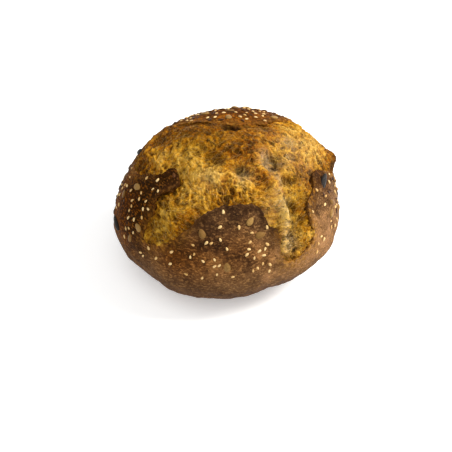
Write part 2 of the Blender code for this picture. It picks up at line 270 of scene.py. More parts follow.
# %% How crisp the torn edge is
def push(places):
    """How hard the crumb pushed at each place: 1 near the cross, down to 0 at the ends of its arms."""
    away = np.linalg.norm(places - np.array(CROSS_CENTRE), axis=1)
    return 1.0 - smooth_step((away - PUSH_FULL) / (PUSH_END - PUSH_FULL))


def nearness(places, u, v, half_width, power=2):
    """1 at the spot (u, v), down to 0 well beyond its half width. A higher power has steeper sides."""
    gap = np.hypot(places[:, 0] - u, places[:, 1] - v) / half_width
    return np.exp(-(gap**power))


def blend_of(spots, places):
    """How much each place is covered by the listed spots (u, v, half width, strength), from 0 to 1."""
    left = np.ones(len(places))
    for *spot, strength in spots:
        left *= 1.0 - strength * nearness(places, *spot)
    return 1.0 - left


def crispness(places):
    """1 where a flap stands up with a sharp edge, down to 0 where crust and crumb blend."""
    return push(places) ** 0.5 * (1.0 - blend_of(SOFT_EDGES, places))


# %% [markdown]
# ## The crust
#
# Crust and crumb share slow swells. The crust adds blisters and a lip along the tear, where the crumb pushed
# it up. At this size the smallest blisters are worth having as real shape, because they catch the light.

# %% The crust's relief
UNEVEN, UNEVEN_SIZE = 1.2, 34.0
RELIEF_FULL_AT = 12.0
# Slow swells: u, v, half width, height
SWELLS = (
    (106, 4, 22, -4.0), (66, 40, 15, -3.5), (-116, -106, 34, -3.5), (60, -140, 30, -2.0),
    (120, -66, 22, 2.0), (-128, -25, 16, 2.2), (-86, 14, 14, -2.0), (-60, 42, 16, 1.6),
)
BLISTER, BLISTER_SIZE = 0.7, 9.0
SMALL_BLISTER, SMALL_BLISTER_SIZE = 0.35, 3.4
LIP_LIFT, LIP_REACH = 1.8, 6.0
LIP_CHANGE, LIP_CHANGE_SIZE = 1.9, 24.0
# Lips that stand up higher: u, v, half width, height
LIFTED = ((-46, -22, 9, 2.8), (12, -65, 10, 0.8))


def slow_relief(points, places):
    """The slow swells and hollows that crust and crumb share, which fade out towards the flat base."""
    relief = UNEVEN * noise_field(points, UNEVEN_SIZE, 3)
    for *spot, height in SWELLS:
        relief += height * nearness(places, *spot)
    return relief * smooth_step(points[:, 2] / RELIEF_FULL_AT)


def crust_relief(points, places, inside):
    """How far the crust stands off the plain form."""
    lift = LIP_LIFT + LIP_CHANGE * noise_field(points, LIP_CHANGE_SIZE, 2)
    lip = lift * crispness(places) * np.exp(np.minimum(inside, 0.0) / LIP_REACH)
    for *spot, height in LIFTED:
        lip += height * nearness(places, *spot)
    blister = BLISTER * noise_field(points, BLISTER_SIZE, 4)
    blister += SMALL_BLISTER * noise_field(points, SMALL_BLISTER_SIZE, 9)
    return slow_relief(points, places) + (lip + blister) * smooth_step(points[:, 2] / RELIEF_FULL_AT)


# %% [markdown]
# The crust piece is a closed shell: a ball of even triangles, made finer near the torn edge. Along the edge
# it leans out over the crumb, turns down as thick as a real crust, tucks under, and runs on below the crumb,
# where nobody sees it. So the flaps have a real edge with a shadow below it.

# %% The crust's mesh
BALL_SUBDIVISIONS = 7
REFINE_WITHIN = (9.0, 3.5)
WALL = 1.4
SUNK, SUNK_DEEP, DEEP_FROM = 8.0, 20.0, 12.0
OVERHANG, OVERHANG_REACH, LEAST_OVERHANG = 1.6, 4.0, 0.15
UNDERCUT, UNDERCUT_END, UNDERCUT_FADE = 1.8, 8.0, 4.0
FRAY, FRAY_SIZE = 1.2, 2.8
MAP_STEP = 0.6


def directions_of(bm):
    return unit(np.array([vertex.co for vertex in bm.verts], float))


def fine_ball():
    """A ball of triangles, cut finer within each distance of the torn edge."""
    bm = bmesh.new()
    bmesh.ops.create_icosphere(bm, subdivisions=BALL_SUBDIVISIONS, radius=1.0)
    for reach in REFINE_WITHIN:
        near = np.abs(inside_tear(unwrap(directions_of(bm)))) < reach
        bm.verts.index_update()
        cut = [edge for edge in bm.edges if near[edge.verts[0].index] and near[edge.verts[1].index]]
        bmesh.ops.subdivide_edges(bm, edges=cut, cuts=1, use_grid_fill=True)
        bmesh.ops.triangulate(bm, faces=[face for face in bm.faces if len(face.verts) > 3])
    return bm


# %% The crust's surface
def away_from_crust(places):
    """At each place, the way on the map that leads into the tear, as a unit vector."""
    right = inside_tear(places + [MAP_STEP, 0.0]) - inside_tear(places - [MAP_STEP, 0.0])
    ahead = inside_tear(places + [0.0, MAP_STEP]) - inside_tear(places - [0.0, MAP_STEP])
    return unit(np.column_stack([right, ahead]))


def crust_surface(directions):
    """Points of the crust in millimetres, and how far inside the tear each one lies."""
    places = unwrap(directions)
    inside = inside_tear(places) + FRAY * map_noise(places, FRAY_SIZE, 10)
    lean_out = OVERHANG * np.exp(np.minimum(inside, 0.0) / OVERHANG_REACH)
    lean_out *= LEAST_OVERHANG + crispness(places)
    tuck = smooth_step(inside / WALL) * (OVERHANG + UNDERCUT)
    tuck *= smooth_step((UNDERCUT_END - inside) / UNDERCUT_FADE)
    sideways = np.where(inside < UNDERCUT_END, lean_out - tuck, 0.0)
    near = (inside > -4 * OVERHANG_REACH) & (inside < UNDERCUT_END)
    moved = places.copy()
    moved[near] += sideways[near, None] * away_from_crust(places[near])
    moved_directions = wrap(moved)
    relief = crust_relief(plain_form(moved_directions), places, inside)
    relief -= SUNK * smooth_step(inside / WALL) + (SUNK_DEEP - SUNK) * smooth_step(inside / DEEP_FROM)
    return raised(moved_directions, relief), inside


# %% The crust piece
def mesh_object(name, bm):
    mesh = bpy.data.meshes.new(name)
    bm.to_mesh(mesh)
    bm.free()
    mesh.shade_smooth()
    return put_in_scene(name, mesh)


def paint(obj, name, values):
    """Stores one number for each vertex, which the material reads with an Attribute node."""
    layer = obj.data.attributes.new(name, "FLOAT", "POINT")
    layer.data.foreach_set("value", np.asarray(values, np.float32))


ball = fine_ball()
ball_directions = directions_of(ball)
crust_points, crust_inside = crust_surface(ball_directions)
for vertex, point in zip(ball.verts, crust_points):
    vertex.co = Vector(point) * MM
crust = mesh_object("crust", ball)
print("crust:", len(crust.data.vertices), "vertices,", len(crust.data.polygons), "triangles")

# %% [markdown]
# ## The torn crumb
#
# Where the dough tore, it was stretched before it set. So the crumb bulges between the flaps, ropes of it lie
# across each arm of the star, bubbles burst into pockets, and a few folds stand up. These large forms are the
# same ones as in the solid model.

# %% The crumb's large forms
EDGE_DROP, LEAST_EDGE_DROP = 2.6, 0.8
CRUMB_BULGE, CRUMB_BULGE_REACH = 3.2, 16.0
ROPE, ROPE_WIDTH, ROPE_LENGTH = 1.0, 8.0, 22.0
KNOT, KNOT_SIZE = 0.8, 6.0
WARP, WARP_SIZE = 5.0, 18.0
# Burst bubbles: u, v, half width, depth
POCKETS = (
    (30, -20, 8.5, 8.0), (-11, -21, 7.0, 6.0), (-19, -13, 5.0, 2.5), (52, -76, 5.0, 2.5),
    (8, -33, 5.0, 4.5), (41, -34, 5.0, 4.5), (49, -56, 6.0, 6.0), (60, -66, 8.0, 4.0), (60, -87, 4.0, 1.2),
    (-58, -66, 11.0, 3.0), (-2, 8, 3.6, 5.5), (3, 5.5, 3.0, 4.0), (56, 28, 6.0, 2.5), (-52, 6, 6.0, 2.5),
)
# Folds that stand up: from, to, half width, height
FOLDS = (
    ((30, -40), (41, -62), 4.5, 4.0), ((41, -62), (48, -90), 4.0, 3.5), ((28, -56), (39, -84), 7.0, 2.0),
    ((-5, 8), (14, -4), 13.0, 2.0), ((-30, -24), (10, -45), 7.0, 2.5), ((20, -31), (31, -42), 3.5, 2.5),
    ((52, -4), (62, 16), 11.0, 2.2), ((86, 22), (94, 32), 7.0, 4.0),
)


def fold_height(places, fold):
    """A rounded ridge from one place to another, fading at its ends."""
    first, second, half_width, height = fold
    start, way = np.array(first, float), np.array(second, float) - np.array(first, float)
    share = np.clip((places - start) @ way / (way @ way), 0.0, 1.0)
    gap = np.linalg.norm(places - start - share[:, None] * way, axis=1)
    return height * np.exp(-((gap / half_width) ** 2))


def warped_offset(places, points):
    """The way from the cross's centre to each place, bent a little so that nothing runs quite straight."""
    return places + WARP * wander(points, WARP_SIZE, (5, 6)) - np.array(CROSS_CENTRE)


def rope_places(offset, width, length):
    """Places for noise that changes fast along an arm and slowly across it: its crests lie across the arm."""
    return np.column_stack([np.linalg.norm(offset, axis=1) / width, offset / length])


def crumb_relief(points, places, inside, offset):
    """How far the torn crumb's large forms stand off the plain form."""
    drop = LEAST_EDGE_DROP + (EDGE_DROP - LEAST_EDGE_DROP) * crispness(places)
    rise = CRUMB_BULGE * smooth_step(inside / CRUMB_BULGE_REACH) - drop
    rise += ROPE * (ridged(rope_places(offset, ROPE_WIDTH, ROPE_LENGTH), 1.0, 7) - 0.5)
    rise += KNOT * (ridged(points, KNOT_SIZE, 8) - 0.5)
    for fold in FOLDS:
        rise += fold_height(places, fold)
    for *spot, depth in POCKETS:
        rise -= depth * nearness(places, *spot, power=4)
    return rise + slow_relief(points, places)


# %% [markdown]
# Up close, torn crumb is a web: strands of gluten about two millimetres thick, fibres half as thick, and
# small round cells between them. Strands and fibres are ridged noise stretched along swirls round the cross.
# Cells come from Voronoi noise, which tells how far the two nearest of many scattered points are.

# %% The crumb's web
STRANDS = (
    {"height": 0.9, "width": 2.6, "length": 8.0, "layer": 21},
    {"height": 0.55, "width": 1.4, "length": 4.2, "layer": 22},
)
CELLS = (
    {"depth": 2.0, "size": 6.5, "layer": 31},
    {"depth": 1.0, "size": 3.2, "layer": 32},
)
CELL_RIM, CELL_MEAN = 0.36, 0.4
CELL_WARP, CELL_WARP_SIZE = 1.6, 5.0
OPEN, OPEN_CHANGE, OPEN_SIZE = 0.42, 1.3, 16.0
SWIRL, SWIRL_SIZE = 11.0, 24.0
SKIN_CALM = 0.75


def cell_depth(points, size, layer):
    """1 in the middle of a cell, down to 0 on the walls between cells."""
    bent = points + CELL_WARP * wander(points, CELL_WARP_SIZE, (layer + 5, layer + 6, layer + 7))
    shifted = bent / size + LAYER_SHIFT * layer
    gaps = np.array([noise.voronoi(p)[0][:2] for p in shifted.tolist()])
    return smooth_step((gaps[:, 1] - gaps[:, 0]) / CELL_RIM)


def web_relief(points, offset, skin):
    """How far the web stands off the large forms. It is weaker where the crumb is a smooth skin."""
    swirl = SWIRL * wander(points, SWIRL_SIZE, (23, 24))
    web = np.zeros(len(points))
    for strand in STRANDS:
        along = rope_places(offset + swirl, strand["width"], strand["length"])
        web += strand["height"] * (ridged(along, 1.0, strand["layer"]) - 0.5)
    openness = smooth_step(OPEN + OPEN_CHANGE * noise_field(points, OPEN_SIZE, 33))
    for cell in CELLS:
        web -= cell["depth"] * openness * (cell_depth(points, cell["size"], cell["layer"]) - CELL_MEAN)
    return web * (1.0 - SKIN_CALM * skin)


# %% [markdown]
# The crumb's mesh is a fine grid on the map, cut a little larger than the star, so its rim hides under the
# flaps. A cone down to the middle of the loaf closes it below. A grid also makes it easy to tell crests from
# pits: the height is compared with the same height blurred, and the material reads the difference.

# %% The crumb's grid
# Where the crumb is a smooth skin: u, v, half width, strength
SMOOTH_PLACES = ((12, 2, 15, 0.9), (-12, 10, 13, 0.8), (-30, 14, 12, 0.6), (33, -68, 9, 0.6))
GRID_STEP = 0.48
MARGIN = 4.0
TUCKED_UNDER = 3.0

grid_low = np.min(TORN_EDGE, axis=0) - 2 * MARGIN
grid_high = np.max(TORN_EDGE, axis=0) + 2 * MARGIN
grid_us = np.arange(grid_low[0], grid_high[0], GRID_STEP)
grid_vs = np.arange(grid_low[1], grid_high[1], GRID_STEP)
grid_shape = (len(grid_us), len(grid_vs))
grid_places = np.stack(np.meshgrid(grid_us, grid_vs, indexing="ij"), axis=-1).reshape(-1, 2)
grid_inside = inside_tear(grid_places)
in_piece = grid_inside > -MARGIN
crumb_places, crumb_inside = grid_places[in_piece], grid_inside[in_piece]
crumb_directions = wrap(crumb_places)
crumb_form = plain_form(crumb_directions)
crumb_offset = warped_offset(crumb_places, crumb_form)
crumb_web = web_relief(crumb_form, crumb_offset, blend_of(SMOOTH_PLACES, crumb_places))
crumb_large = crumb_relief(crumb_form, crumb_places, crumb_inside, crumb_offset)
crumb_height = crumb_large + crumb_web - TUCKED_UNDER * smooth_step(-crumb_inside / MARGIN)
crumb_points = raised(crumb_directions, crumb_height)
print("crumb grid:", grid_shape, "of which in the piece:", len(crumb_points))


# %% The crumb's mesh
def on_grid(values):
    """Values of the crumb's places laid out on the whole grid, with the mean elsewhere."""
    whole = np.full(len(grid_places), float(np.mean(values)))
    whole[in_piece] = values
    return whole.reshape(grid_shape)


def blurred(values, radius):
    """The same values, each one averaged with its neighbours within about the given millimetres."""
    reach = int(3 * radius / GRID_STEP) + 1
    weights = np.exp(-0.5 * (np.arange(-reach, reach + 1) * GRID_STEP / radius) ** 2)
    weights /= weights.sum()
    field = on_grid(values)
    for axis in (0, 1):
        field = np.apply_along_axis(lambda row: np.convolve(row, weights, mode="same"), axis, field)
    return field.reshape(-1)[in_piece]


def make_crumb(masks):
    """The crumb's closed mesh, which stores the masks as one number for each vertex."""
    number = np.full(len(grid_places), -1)
    number[in_piece] = np.arange(in_piece.sum())
    number = number.reshape(grid_shape)
    squares = np.stack([number[:-1, :-1], number[1:, :-1], number[1:, 1:], number[:-1, 1:]], axis=-1)
    squares = squares.reshape(-1, 4)
    squares = squares[(squares >= 0).all(axis=1)]
    mesh = bpy.data.meshes.new("crumb")
    mesh.from_pydata((crumb_points * MM).tolist(), [], squares.tolist())
    bm = bmesh.new()
    bm.from_mesh(mesh)
    bpy.data.meshes.remove(mesh)
    for name, values in masks.items():
        layer = bm.verts.layers.float.new(name)
        for vertex, value in zip(bm.verts, values.tolist()):
            vertex[layer] = value
    bmesh.ops.delete(bm, geom=[vertex for vertex in bm.verts if not vertex.link_faces], context="VERTS")
    middle = bm.verts.new((0, 0, GIRTH_HEIGHT * MM))
    for edge in [edge for edge in bm.edges if edge.is_boundary]:
        bm.faces.new((*edge.verts, middle))
    bmesh.ops.recalc_face_normals(bm, faces=bm.faces)
    open_edges = sum(1 for edge in bm.edges if not edge.is_manifold)
    crumb = mesh_object("crumb", bm)
    print("crumb:", len(crumb.data.polygons), "faces,", open_edges, "open edges")
    return crumb


# %% [markdown]
# No two parts of the crumb baked alike. These lists say where it is toasted, bright, pale, shaded or dark.
# The shaded list is painted shade, olive gold where hollows and valleys lie in shade, and the dark list is
# painted near-black shade in holes. The pale list is partly pale crumb and partly painted highlight along
# ridges. The rest
# follows from the form: painted light on crests and hills, painted shade in pits, the rim beside a sharp
# flap, and the brown seam beside a soft one.

# %% How each part of the crumb baked, with painted light and shade
# u, v, half width, strength
TOASTED_PLACES = (
    (-28, 14, 14, 0.7), (-10, 8, 12, 0.9), (12, 6, 12, 0.85), (22, 8, 8, 0.8), (10, -8, 12, 0.9),
    (8, -20, 9, 0.7), (-2, -14, 6, 0.5), (-40, 14, 14, 0.7), (-50, 28, 16, 0.8), (-60, 2, 10, 0.5),
    (-62, -8, 8, 0.4), (30, 20, 10, 0.4), (88, 22, 13, 0.8), (62, -28, 10, 0.6), (66, -48, 8, 0.7),
    (52, -32, 8, 0.4), (22, -38, 7, 0.5), (0, -53, 9, 0.4), (-32, -70, 10, 0.5), (-52, -46, 8, 0.5),
    (45, -5, 8, 0.2), (-70, 12, 12, 0.6), (60, -80, 6, 0.3), (50, -10, 6, 0.3), (55, -21, 6, 0.7),
    (65, -18, 5, 0.8), (23, -36, 6, 0.6), (22, -63, 5, 0.4), (58, -54, 5, 0.5), (2, -49, 5, 0.4),
    (0, -29, 4, 0.4), (89, 24, 10, 1.0), (-66, -8, 7, 0.6), (-54, -16, 5, 0.3),
)
BRIGHT_PLACES = (
    (-42, -13, 11, 0.6), (-22, -32, 11, 0.6), (-13, -42, 12, 0.7), (2, -46, 11, 0.5), (-28, -42, 10, 0.5),
    (26, -54, 11, 0.5), (36, -66, 9, 0.5), (62, 8, 18, 0.5), (40, -21, 5, 0.7), (56, -16, 9, 0.4),
    (40, 10, 12, 0.4), (-46, -54, 8, 0.4), (20, -48, 8, 0.4), (-30, -20, 8, 0.3),
)
# Pale crumb in burst pockets, and painted highlight along ridges
PALE_AND_HIGHLIGHT_PLACES = (
    (25, -18, 6, 0.9), (29, -26, 5, 0.9), (41, 0, 7, 0.7), (34, -36, 4.5, 0.8), (9, -37, 6, 0.8),
    (41, -14, 4, 0.5), (-13, -38, 8, 0.35), (33, -45, 4, 0.5), (37, -53, 3.5, 0.7), (41, -60, 4, 0.8),
    (44, -68, 4, 0.85), (46, -76, 4, 0.85), (48, -84, 4.5, 0.8), (51, -91, 5, 0.5), (38, -20, 5, 0.35),
    (24, -63, 4, 0.4), (29, -70, 4, 0.5), (34, -78, 4, 0.4), (50, -4, 20, 0.3), (64, 10, 14, 0.15),
    (52, -84, 10, 0.5), (34, -56, 9, 0.4),
)
# Painted shade: olive gold where hollows and valleys lie in shade
SHADED_PLACES = (
    (-12, -22, 9, 0.6), (6, -31, 4.5, 1.0), (33, -16, 4, 0.9), (-45, -63, 14, 0.4), (-65, -62, 10, 0.6),
    (-48, -48, 11, 0.4), (45, -52, 5, 1.0), (48, -60, 6, 1.0), (52, -69, 6, 1.0), (55, -78, 6, 0.9),
    (60, -64, 10, 0.7), (62, -82, 9, 0.6), (52, -46, 8, 0.5), (42, -38, 8, 0.7), (40, -50, 3, 0.6),
    (-22, -10, 10, 0.6), (-34, -2, 10, 0.5), (58, -42, 9, 0.6), (-8, -6, 7, 0.4), (-60, -74, 10, 0.5),
    (48, -28, 6, 0.4),
)
# Painted shade: near black in holes and deep valleys
DARK_PLACES = (
    (-2.5, 8.5, 3.4, 1.0), (1.5, 7, 3.4, 1.0), (5, 5.5, 2.4, 0.8), (0, 4, 2.6, 0.8), (89, 24, 4.5, 0.7),
    (32, -22, 2.6, 1.0), (6, -32, 2.8, 0.8), (60, -87, 2.8, 0.9), (42, -53, 2.8, 0.9), (46, -58, 2.4, 0.8),
    (50, -66, 2.2, 0.8), (-8, -27, 3.0, 0.5), (59, -25, 1.8, 0.9), (47, -14, 1.8, 0.8), (-44, 6, 1.8, 0.7),
    (75, -62, 2.6, 0.8), (48, -31, 2.2, 0.6), (64, -70, 2.0, 0.6), (54, -60, 2.0, 0.6), (2, -50, 1.6, 0.6),
    (-30, -27, 1.6, 0.5), (-52, -46, 1.8, 0.6), (-38, -52, 1.8, 0.6),
)
BLUR_RADII = (0.5, 1.8, 8.0)
CREST_RANGE, HILL_RANGE = 2.2, 5.0
RIM_WIDTH, CRUSTY_WIDTH = 2.5, 4.5

# %% The crumb piece
fine_height, near_height, wide_height = (blurred(crumb_height, radius) for radius in BLUR_RADII)
crumb_masks = {
    "crest": np.clip(0.5 + (fine_height - near_height) / CREST_RANGE, 0, 1),
    "hill": np.clip(0.5 + (near_height - wide_height) / HILL_RANGE, 0, 1),
    "toast": blend_of(TOASTED_PLACES, crumb_places),
    "bright": blend_of(BRIGHT_PLACES, crumb_places),
    "pale": blend_of(PALE_AND_HIGHLIGHT_PLACES, crumb_places),
    "shade": blend_of(SHADED_PLACES, crumb_places),
    "dark": blend_of(DARK_PLACES, crumb_places),
    "rim": np.exp(-np.maximum(crumb_inside, 0.0) / RIM_WIDTH),
    "crusty": np.exp(-np.maximum(crumb_inside, 0.0) / CRUSTY_WIDTH) * (1.0 - crispness(crumb_places)),
}
crumb = make_crumb(crumb_masks)

# %% [markdown]
# ## Where the seeds lie
#
# The baker rolled the wet loaf in seeds, so they lie flat on the crust and thin out down its sides. Large
# ones come first, so that small ones fill the room left between them. The few that the photograph shows most
# clearly have places of their own. Everything else is drawn at random, the same in every run.

# %% Seed places
SESAME = {"name": "sesame", "size": (3.0, 1.8, 1.2), "proud": 0.62, "room": 4.0}
KERNEL = {"name": "kernels", "size": (7.2, 4.8, 2.0), "proud": 0.55, "room": 9.5}
HULLED = {"name": "hulled_seeds", "size": (14.0, 5.6, 3.8), "proud": 0.62, "room": 15.5}
FLAX = {"name": "flax", "size": (4.2, 2.2, 1.3), "proud": 0.6, "room": 4.0}
SEED_TAPER = 0.22
SEED_TILT = 0.5
# Seeds that lean out of the crust: by how many degrees their pointed end stands up
LEANING = {(77, -18): 24.0}
PLACED_HULLED = ((77, -18, 102), (-79, 27, 125), (-112, -35, 100), (38, 84, 20), (-66, 66, 150))
PLACED_KERNELS = (
    (-22, -79, 105), (15, -71, 60), (24, -81, 20), (-3, -109, 95), (-78, -59, 110),
    (96, -38, 95), (31, 34, 45), (-88, -22, 60), (-1, 25, 95), (-19, 40, 150),
)
KERNELS = 24
SESAME_SEEDS = 96
MORE_SESAME = 150
FLAX_SEEDS = 150
FLAX_FROM = -30.0
# Where seeds lie thick: u, v, half width, share
SEED_PATCHES = (
    (0, 62, 56, 0.75), (-14, -88, 14, 1.0), (22, -92, 14, 0.8), (-70, -34, 22, 0.8), (-97, -10, 24, 0.7),
    (84, -30, 14, 0.5),
)
# The same for the small seeds that come last
LATER_PATCHES = (
    (0, 62, 56, 0.75), (-14, -88, 14, 0.12), (22, -92, 14, 0.12), (-70, -34, 22, 0.3), (-97, -10, 24, 0.4),
    (84, -30, 10, 0.3),
)
SEEDS_ELSEWHERE = 0.12
SEEDS_FULL_TO = 98.0
SEEDS_END = 122.0
SEED_EDGE_GAP = 2.5
DRAW_SEED = 11


# %% Drawing the seed places
def seediness(u, v, seed_patches):
    """How likely a seed is to lie at a place, from 0 to 1."""
    away = math.hypot(u, v)
    patches = [
        share * math.exp(-((u - patch_u) ** 2 + (v - patch_v) ** 2) / half_width**2)
        for patch_u, patch_v, half_width, share in seed_patches
    ]
    thinning = 1.0 - (away - SEEDS_FULL_TO) / (SEEDS_END - SEEDS_FULL_TO)
    return min(thinning, max(SEEDS_ELSEWHERE, *patches))


def draw_places(count, room, taken, draw, seed_patches=SEED_PATCHES, from_v=-SEEDS_END):
    """Random places on the crust, clear of the tear and of what is taken, as thick as seeds lie there."""
    found = []
    while len(found) < count:
        place = (draw.uniform(-SEEDS_END, SEEDS_END), draw.uniform(from_v, SEEDS_END))
        heading = draw.uniform(0, 360)
        if draw.random() > seediness(*place, seed_patches):
            continue
        if any(math.dist(place, other) < (room + other_room) / 2 for other, other_room in taken):
            continue
        if inside_tear(np.array([place]))[0] > -SEED_EDGE_GAP:
            continue
        taken.append((place, room))
        found.append((*place, heading))
    return found


def seed_places():
    """The places of each kind of seed as (u, v, heading)."""
    draw = random.Random(DRAW_SEED)
    taken = [((u, v), HULLED["room"]) for u, v, _ in PLACED_HULLED]
    taken += [((u, v), KERNEL["room"]) for u, v, _ in PLACED_KERNELS]
    more_kernels = KERNELS - len(PLACED_KERNELS)
    kernels = list(PLACED_KERNELS) + draw_places(more_kernels, KERNEL["room"], taken, draw)
    sesame = draw_places(SESAME_SEEDS, SESAME["room"], taken, draw)
    sesame += draw_places(MORE_SESAME, SESAME["room"], taken, draw, LATER_PATCHES)
    flax = draw_places(FLAX_SEEDS, FLAX["room"], taken, draw, LATER_PATCHES, from_v=FLAX_FROM)
    return {"hulled_seeds": list(PLACED_HULLED), "kernels": kernels, "sesame": sesame, "flax": flax}


places_of_seeds = seed_places()
print("seeds:", {name: len(found) for name, found in places_of_seeds.items()})

# %% [markdown]
# ## One tree for every kind of seed
#
# All these seeds are flattened drops, so one Geometry Nodes tree makes them all. It shapes a sphere into a
# drop, puts a copy on each point, turns it so that it lies on the crust, and gives each a slightly different
# size and tone. The points and the two directions that each seed needs are stored on a small mesh first.

# %% Helpers for trees
def put(tree, kind, inputs=None, **settings):
    """Adds a node, sets what it is, and fills the inputs that are given by name or number."""
    made = tree.nodes.new(kind)
    for name, value in settings.items():
        setattr(made, name, value)
    for name, value in (inputs or {}).items():
        if isinstance(value, bpy.types.NodeSocket):
            tree.links.new(value, made.inputs[name])
        else:
            made.inputs[name].default_value = value
    return made


def calculate(tree, operation, first, second=0.0):
    """A Math node's result."""
    return put(tree, "ShaderNodeMath", {0: first, 1: second}, operation=operation).outputs[0]


def times(tree, first, second):
    return calculate(tree, "MULTIPLY", first, second)


def new_tree(name, kind, inputs, outputs):
    """A node tree with the given sockets, each with its kind, and what its inputs give."""
    tree = bpy.data.node_groups.new(name, kind)
    for in_out, sockets in (("INPUT", inputs), ("OUTPUT", outputs)):
        for label, socket_kind in sockets.items():
            tree.interface.new_socket(label, in_out=in_out, socket_type="NodeSocket" + socket_kind)
    return tree, put(tree, "NodeGroupInput").outputs


def named_attribute(tree, name, kind):
    read = put(tree, "GeometryNodeInputNamedAttribute", data_type=kind)
    read.inputs["Name"].default_value = name
    return read.outputs["Attribute"]


def end_tree(tree, geometry, material):
    """Makes what the tree built real geometry, smooth and with its material."""
    real = put(tree, "GeometryNodeRealizeInstances", {"Geometry": geometry})
    smooth = put(tree, "GeometryNodeSetShadeSmooth", {"Geometry": real.outputs[0]})
    dressed = put(tree, "GeometryNodeSetMaterial", {"Geometry": smooth.outputs[0], "Material": material})
    put(tree, "NodeGroupOutput", {"Geometry": dressed.outputs[0]})
    return tree


# %% The seed tree
SEED_SEGMENTS, SEED_RINGS = 8, 7
ATTRIBUTE_FLAT, ATTRIBUTE_LONG, ATTRIBUTE_TONE = "flat_way", "long_way", "tone"


def make_seed_tree():
    tree, given = new_tree(
        "scattered seeds", "GeometryNodeTree",
        {"Geometry": "Geometry", "Length": "Float", "Width": "Float", "Thickness": "Float",
         "Taper": "Float", "Size Change": "Float", "Random Seed": "Int", "Material": "Material"},
        {"Geometry": "Geometry"},
    )
    ball = put(tree, "GeometryNodeMeshUVSphere", {
        "Segments": SEED_SEGMENTS, "Rings": SEED_RINGS, "Radius": 1.0,
    })
    lying = put(tree, "GeometryNodeTransform", {
        "Geometry": ball.outputs["Mesh"], "Rotation": (0.0, math.pi / 2, 0.0),
    })
    place = put(tree, "ShaderNodeSeparateXYZ", {0: put(tree, "GeometryNodeInputPosition").outputs[0]}).outputs
    slimmer = calculate(tree, "SUBTRACT", 1.0, times(tree, given["Taper"], place["X"]))
    half = {way: times(tree, given[way], 0.5) for way in ("Length", "Width", "Thickness")}
    shaped_place = put(tree, "ShaderNodeCombineXYZ", {
        "X": times(tree, place["X"], half["Length"]),
        "Y": times(tree, times(tree, place["Y"], slimmer), half["Width"]),
        "Z": times(tree, times(tree, place["Z"], slimmer), half["Thickness"]),
    })
    drop = put(tree, "GeometryNodeSetPosition", {
        "Geometry": lying.outputs[0], "Position": shaped_place.outputs[0],
    })

    flat = put(tree, "FunctionNodeAlignRotationToVector", {
        "Vector": named_attribute(tree, ATTRIBUTE_FLAT, "FLOAT_VECTOR"),
    }, axis="Z")
    turn = put(tree, "FunctionNodeAlignRotationToVector", {
        "Rotation": flat.outputs[0],
        "Vector": named_attribute(tree, ATTRIBUTE_LONG, "FLOAT_VECTOR"),
    }, axis="X", pivot_axis="Z")
    least = calculate(tree, "SUBTRACT", 1.0, given["Size Change"])
    most = calculate(tree, "ADD", 1.0, given["Size Change"])
    size = put(tree, "FunctionNodeRandomValue", {
        2: least, 3: most, "Seed": given["Random Seed"],
    }, data_type="FLOAT")
    copies = put(tree, "GeometryNodeInstanceOnPoints", {
        "Points": given["Geometry"], "Instance": drop.outputs[0],
        "Rotation": turn.outputs[0], "Scale": size.outputs[1],
    })
    tone = put(tree, "FunctionNodeRandomValue", {
        "Seed": calculate(tree, "ADD", given["Random Seed"], 1.0),
    }, data_type="FLOAT")
    toned = put(tree, "GeometryNodeStoreNamedAttribute", {
        "Geometry": copies.outputs[0], "Name": ATTRIBUTE_TONE,
    }, data_type="FLOAT", domain="INSTANCE")
    value_in = next(s for s in toned.inputs if s.name == "Value" and s.enabled)
    tree.links.new(tone.outputs[1], value_in)
    return end_tree(tree, toned.outputs[0], given["Material"])


seed_tree = make_seed_tree()
print("seed tree:", len(seed_tree.nodes), "nodes")

# %% [markdown]
# A tree's result is a modifier's live output. The last step turns it into a plain mesh, so that what is kept
# is ordinary geometry that any program can read.

# %% Running a tree
def run_tree(obj, tree, values):
    """Runs the tree on the object with the given inputs, and keeps the result as the object's own mesh."""
    modifier = obj.modifiers.new(tree.name, "NODES")
    modifier.node_group = tree
    for socket in tree.interface.items_tree:
        if socket.item_type == "SOCKET" and socket.in_out == "INPUT" and socket.name in values:
            modifier[socket.identifier] = values[socket.name]
    bpy.context.view_layer.update()
    graph = bpy.context.evaluated_depsgraph_get()
    made = bpy.data.meshes.new_from_object(obj.evaluated_get(graph))
    obj.modifiers.clear()
    obj.data = made


# %% [markdown]
# Each seed lies along its heading, between flat on the plain form and flat on the crust's own slope. Only
# part of its thickness stands proud of the crust.

# %% Laying the seeds down
def store_vectors(mesh, name, vectors):
    layer = mesh.attributes.new(name, "FLOAT_VECTOR", "POINT")
    layer.data.foreach_set("vector", np.asarray(vectors, np.float32).ravel())


def seed_points(kind, found):
    """A mesh of bare points for one kind of seed, each with the way it lies."""
    around = []
    for u, v, _ in found:
        around += [(u, v), (u + 1.0, v), (u, v + 1.0)]
    directions = wrap(around)
    surface, _ = crust_surface(directions)
    here, along, beside = surface[0::3], surface[1::3], surface[2::3]
    tilted = unit(np.cross(along - here, beside - here))
    flat = unit(form_normals(directions[0::3]) + SEED_TILT * tilted)
    length_ways, flat_ways = [], []
    for place, (u, v, heading) in enumerate(found):
        bearing = math.radians(heading)
        way_u, way_v = along[place] - here[place], beside[place] - here[place]
        ahead = math.cos(bearing) * way_u + math.sin(bearing) * way_v
        width_way = Vector(np.cross(flat[place], ahead)).normalized()
        lean = Matrix.Rotation(-math.radians(LEANING.get((u, v), 0.0)), 3, width_way)
        length_ways.append(lean @ width_way.cross(Vector(flat[place])))
        flat_ways.append(lean @ Vector(flat[place]))
    lift = (kind["proud"] - 0.5) * kind["size"][2]
    mesh = bpy.data.meshes.new(kind["name"])
    mesh.from_pydata(((here + lift * flat) * MM).tolist(), [], [])
    store_vectors(mesh, ATTRIBUTE_FLAT, flat_ways)
    store_vectors(mesh, ATTRIBUTE_LONG, length_ways)
    return put_in_scene(kind["name"], mesh)


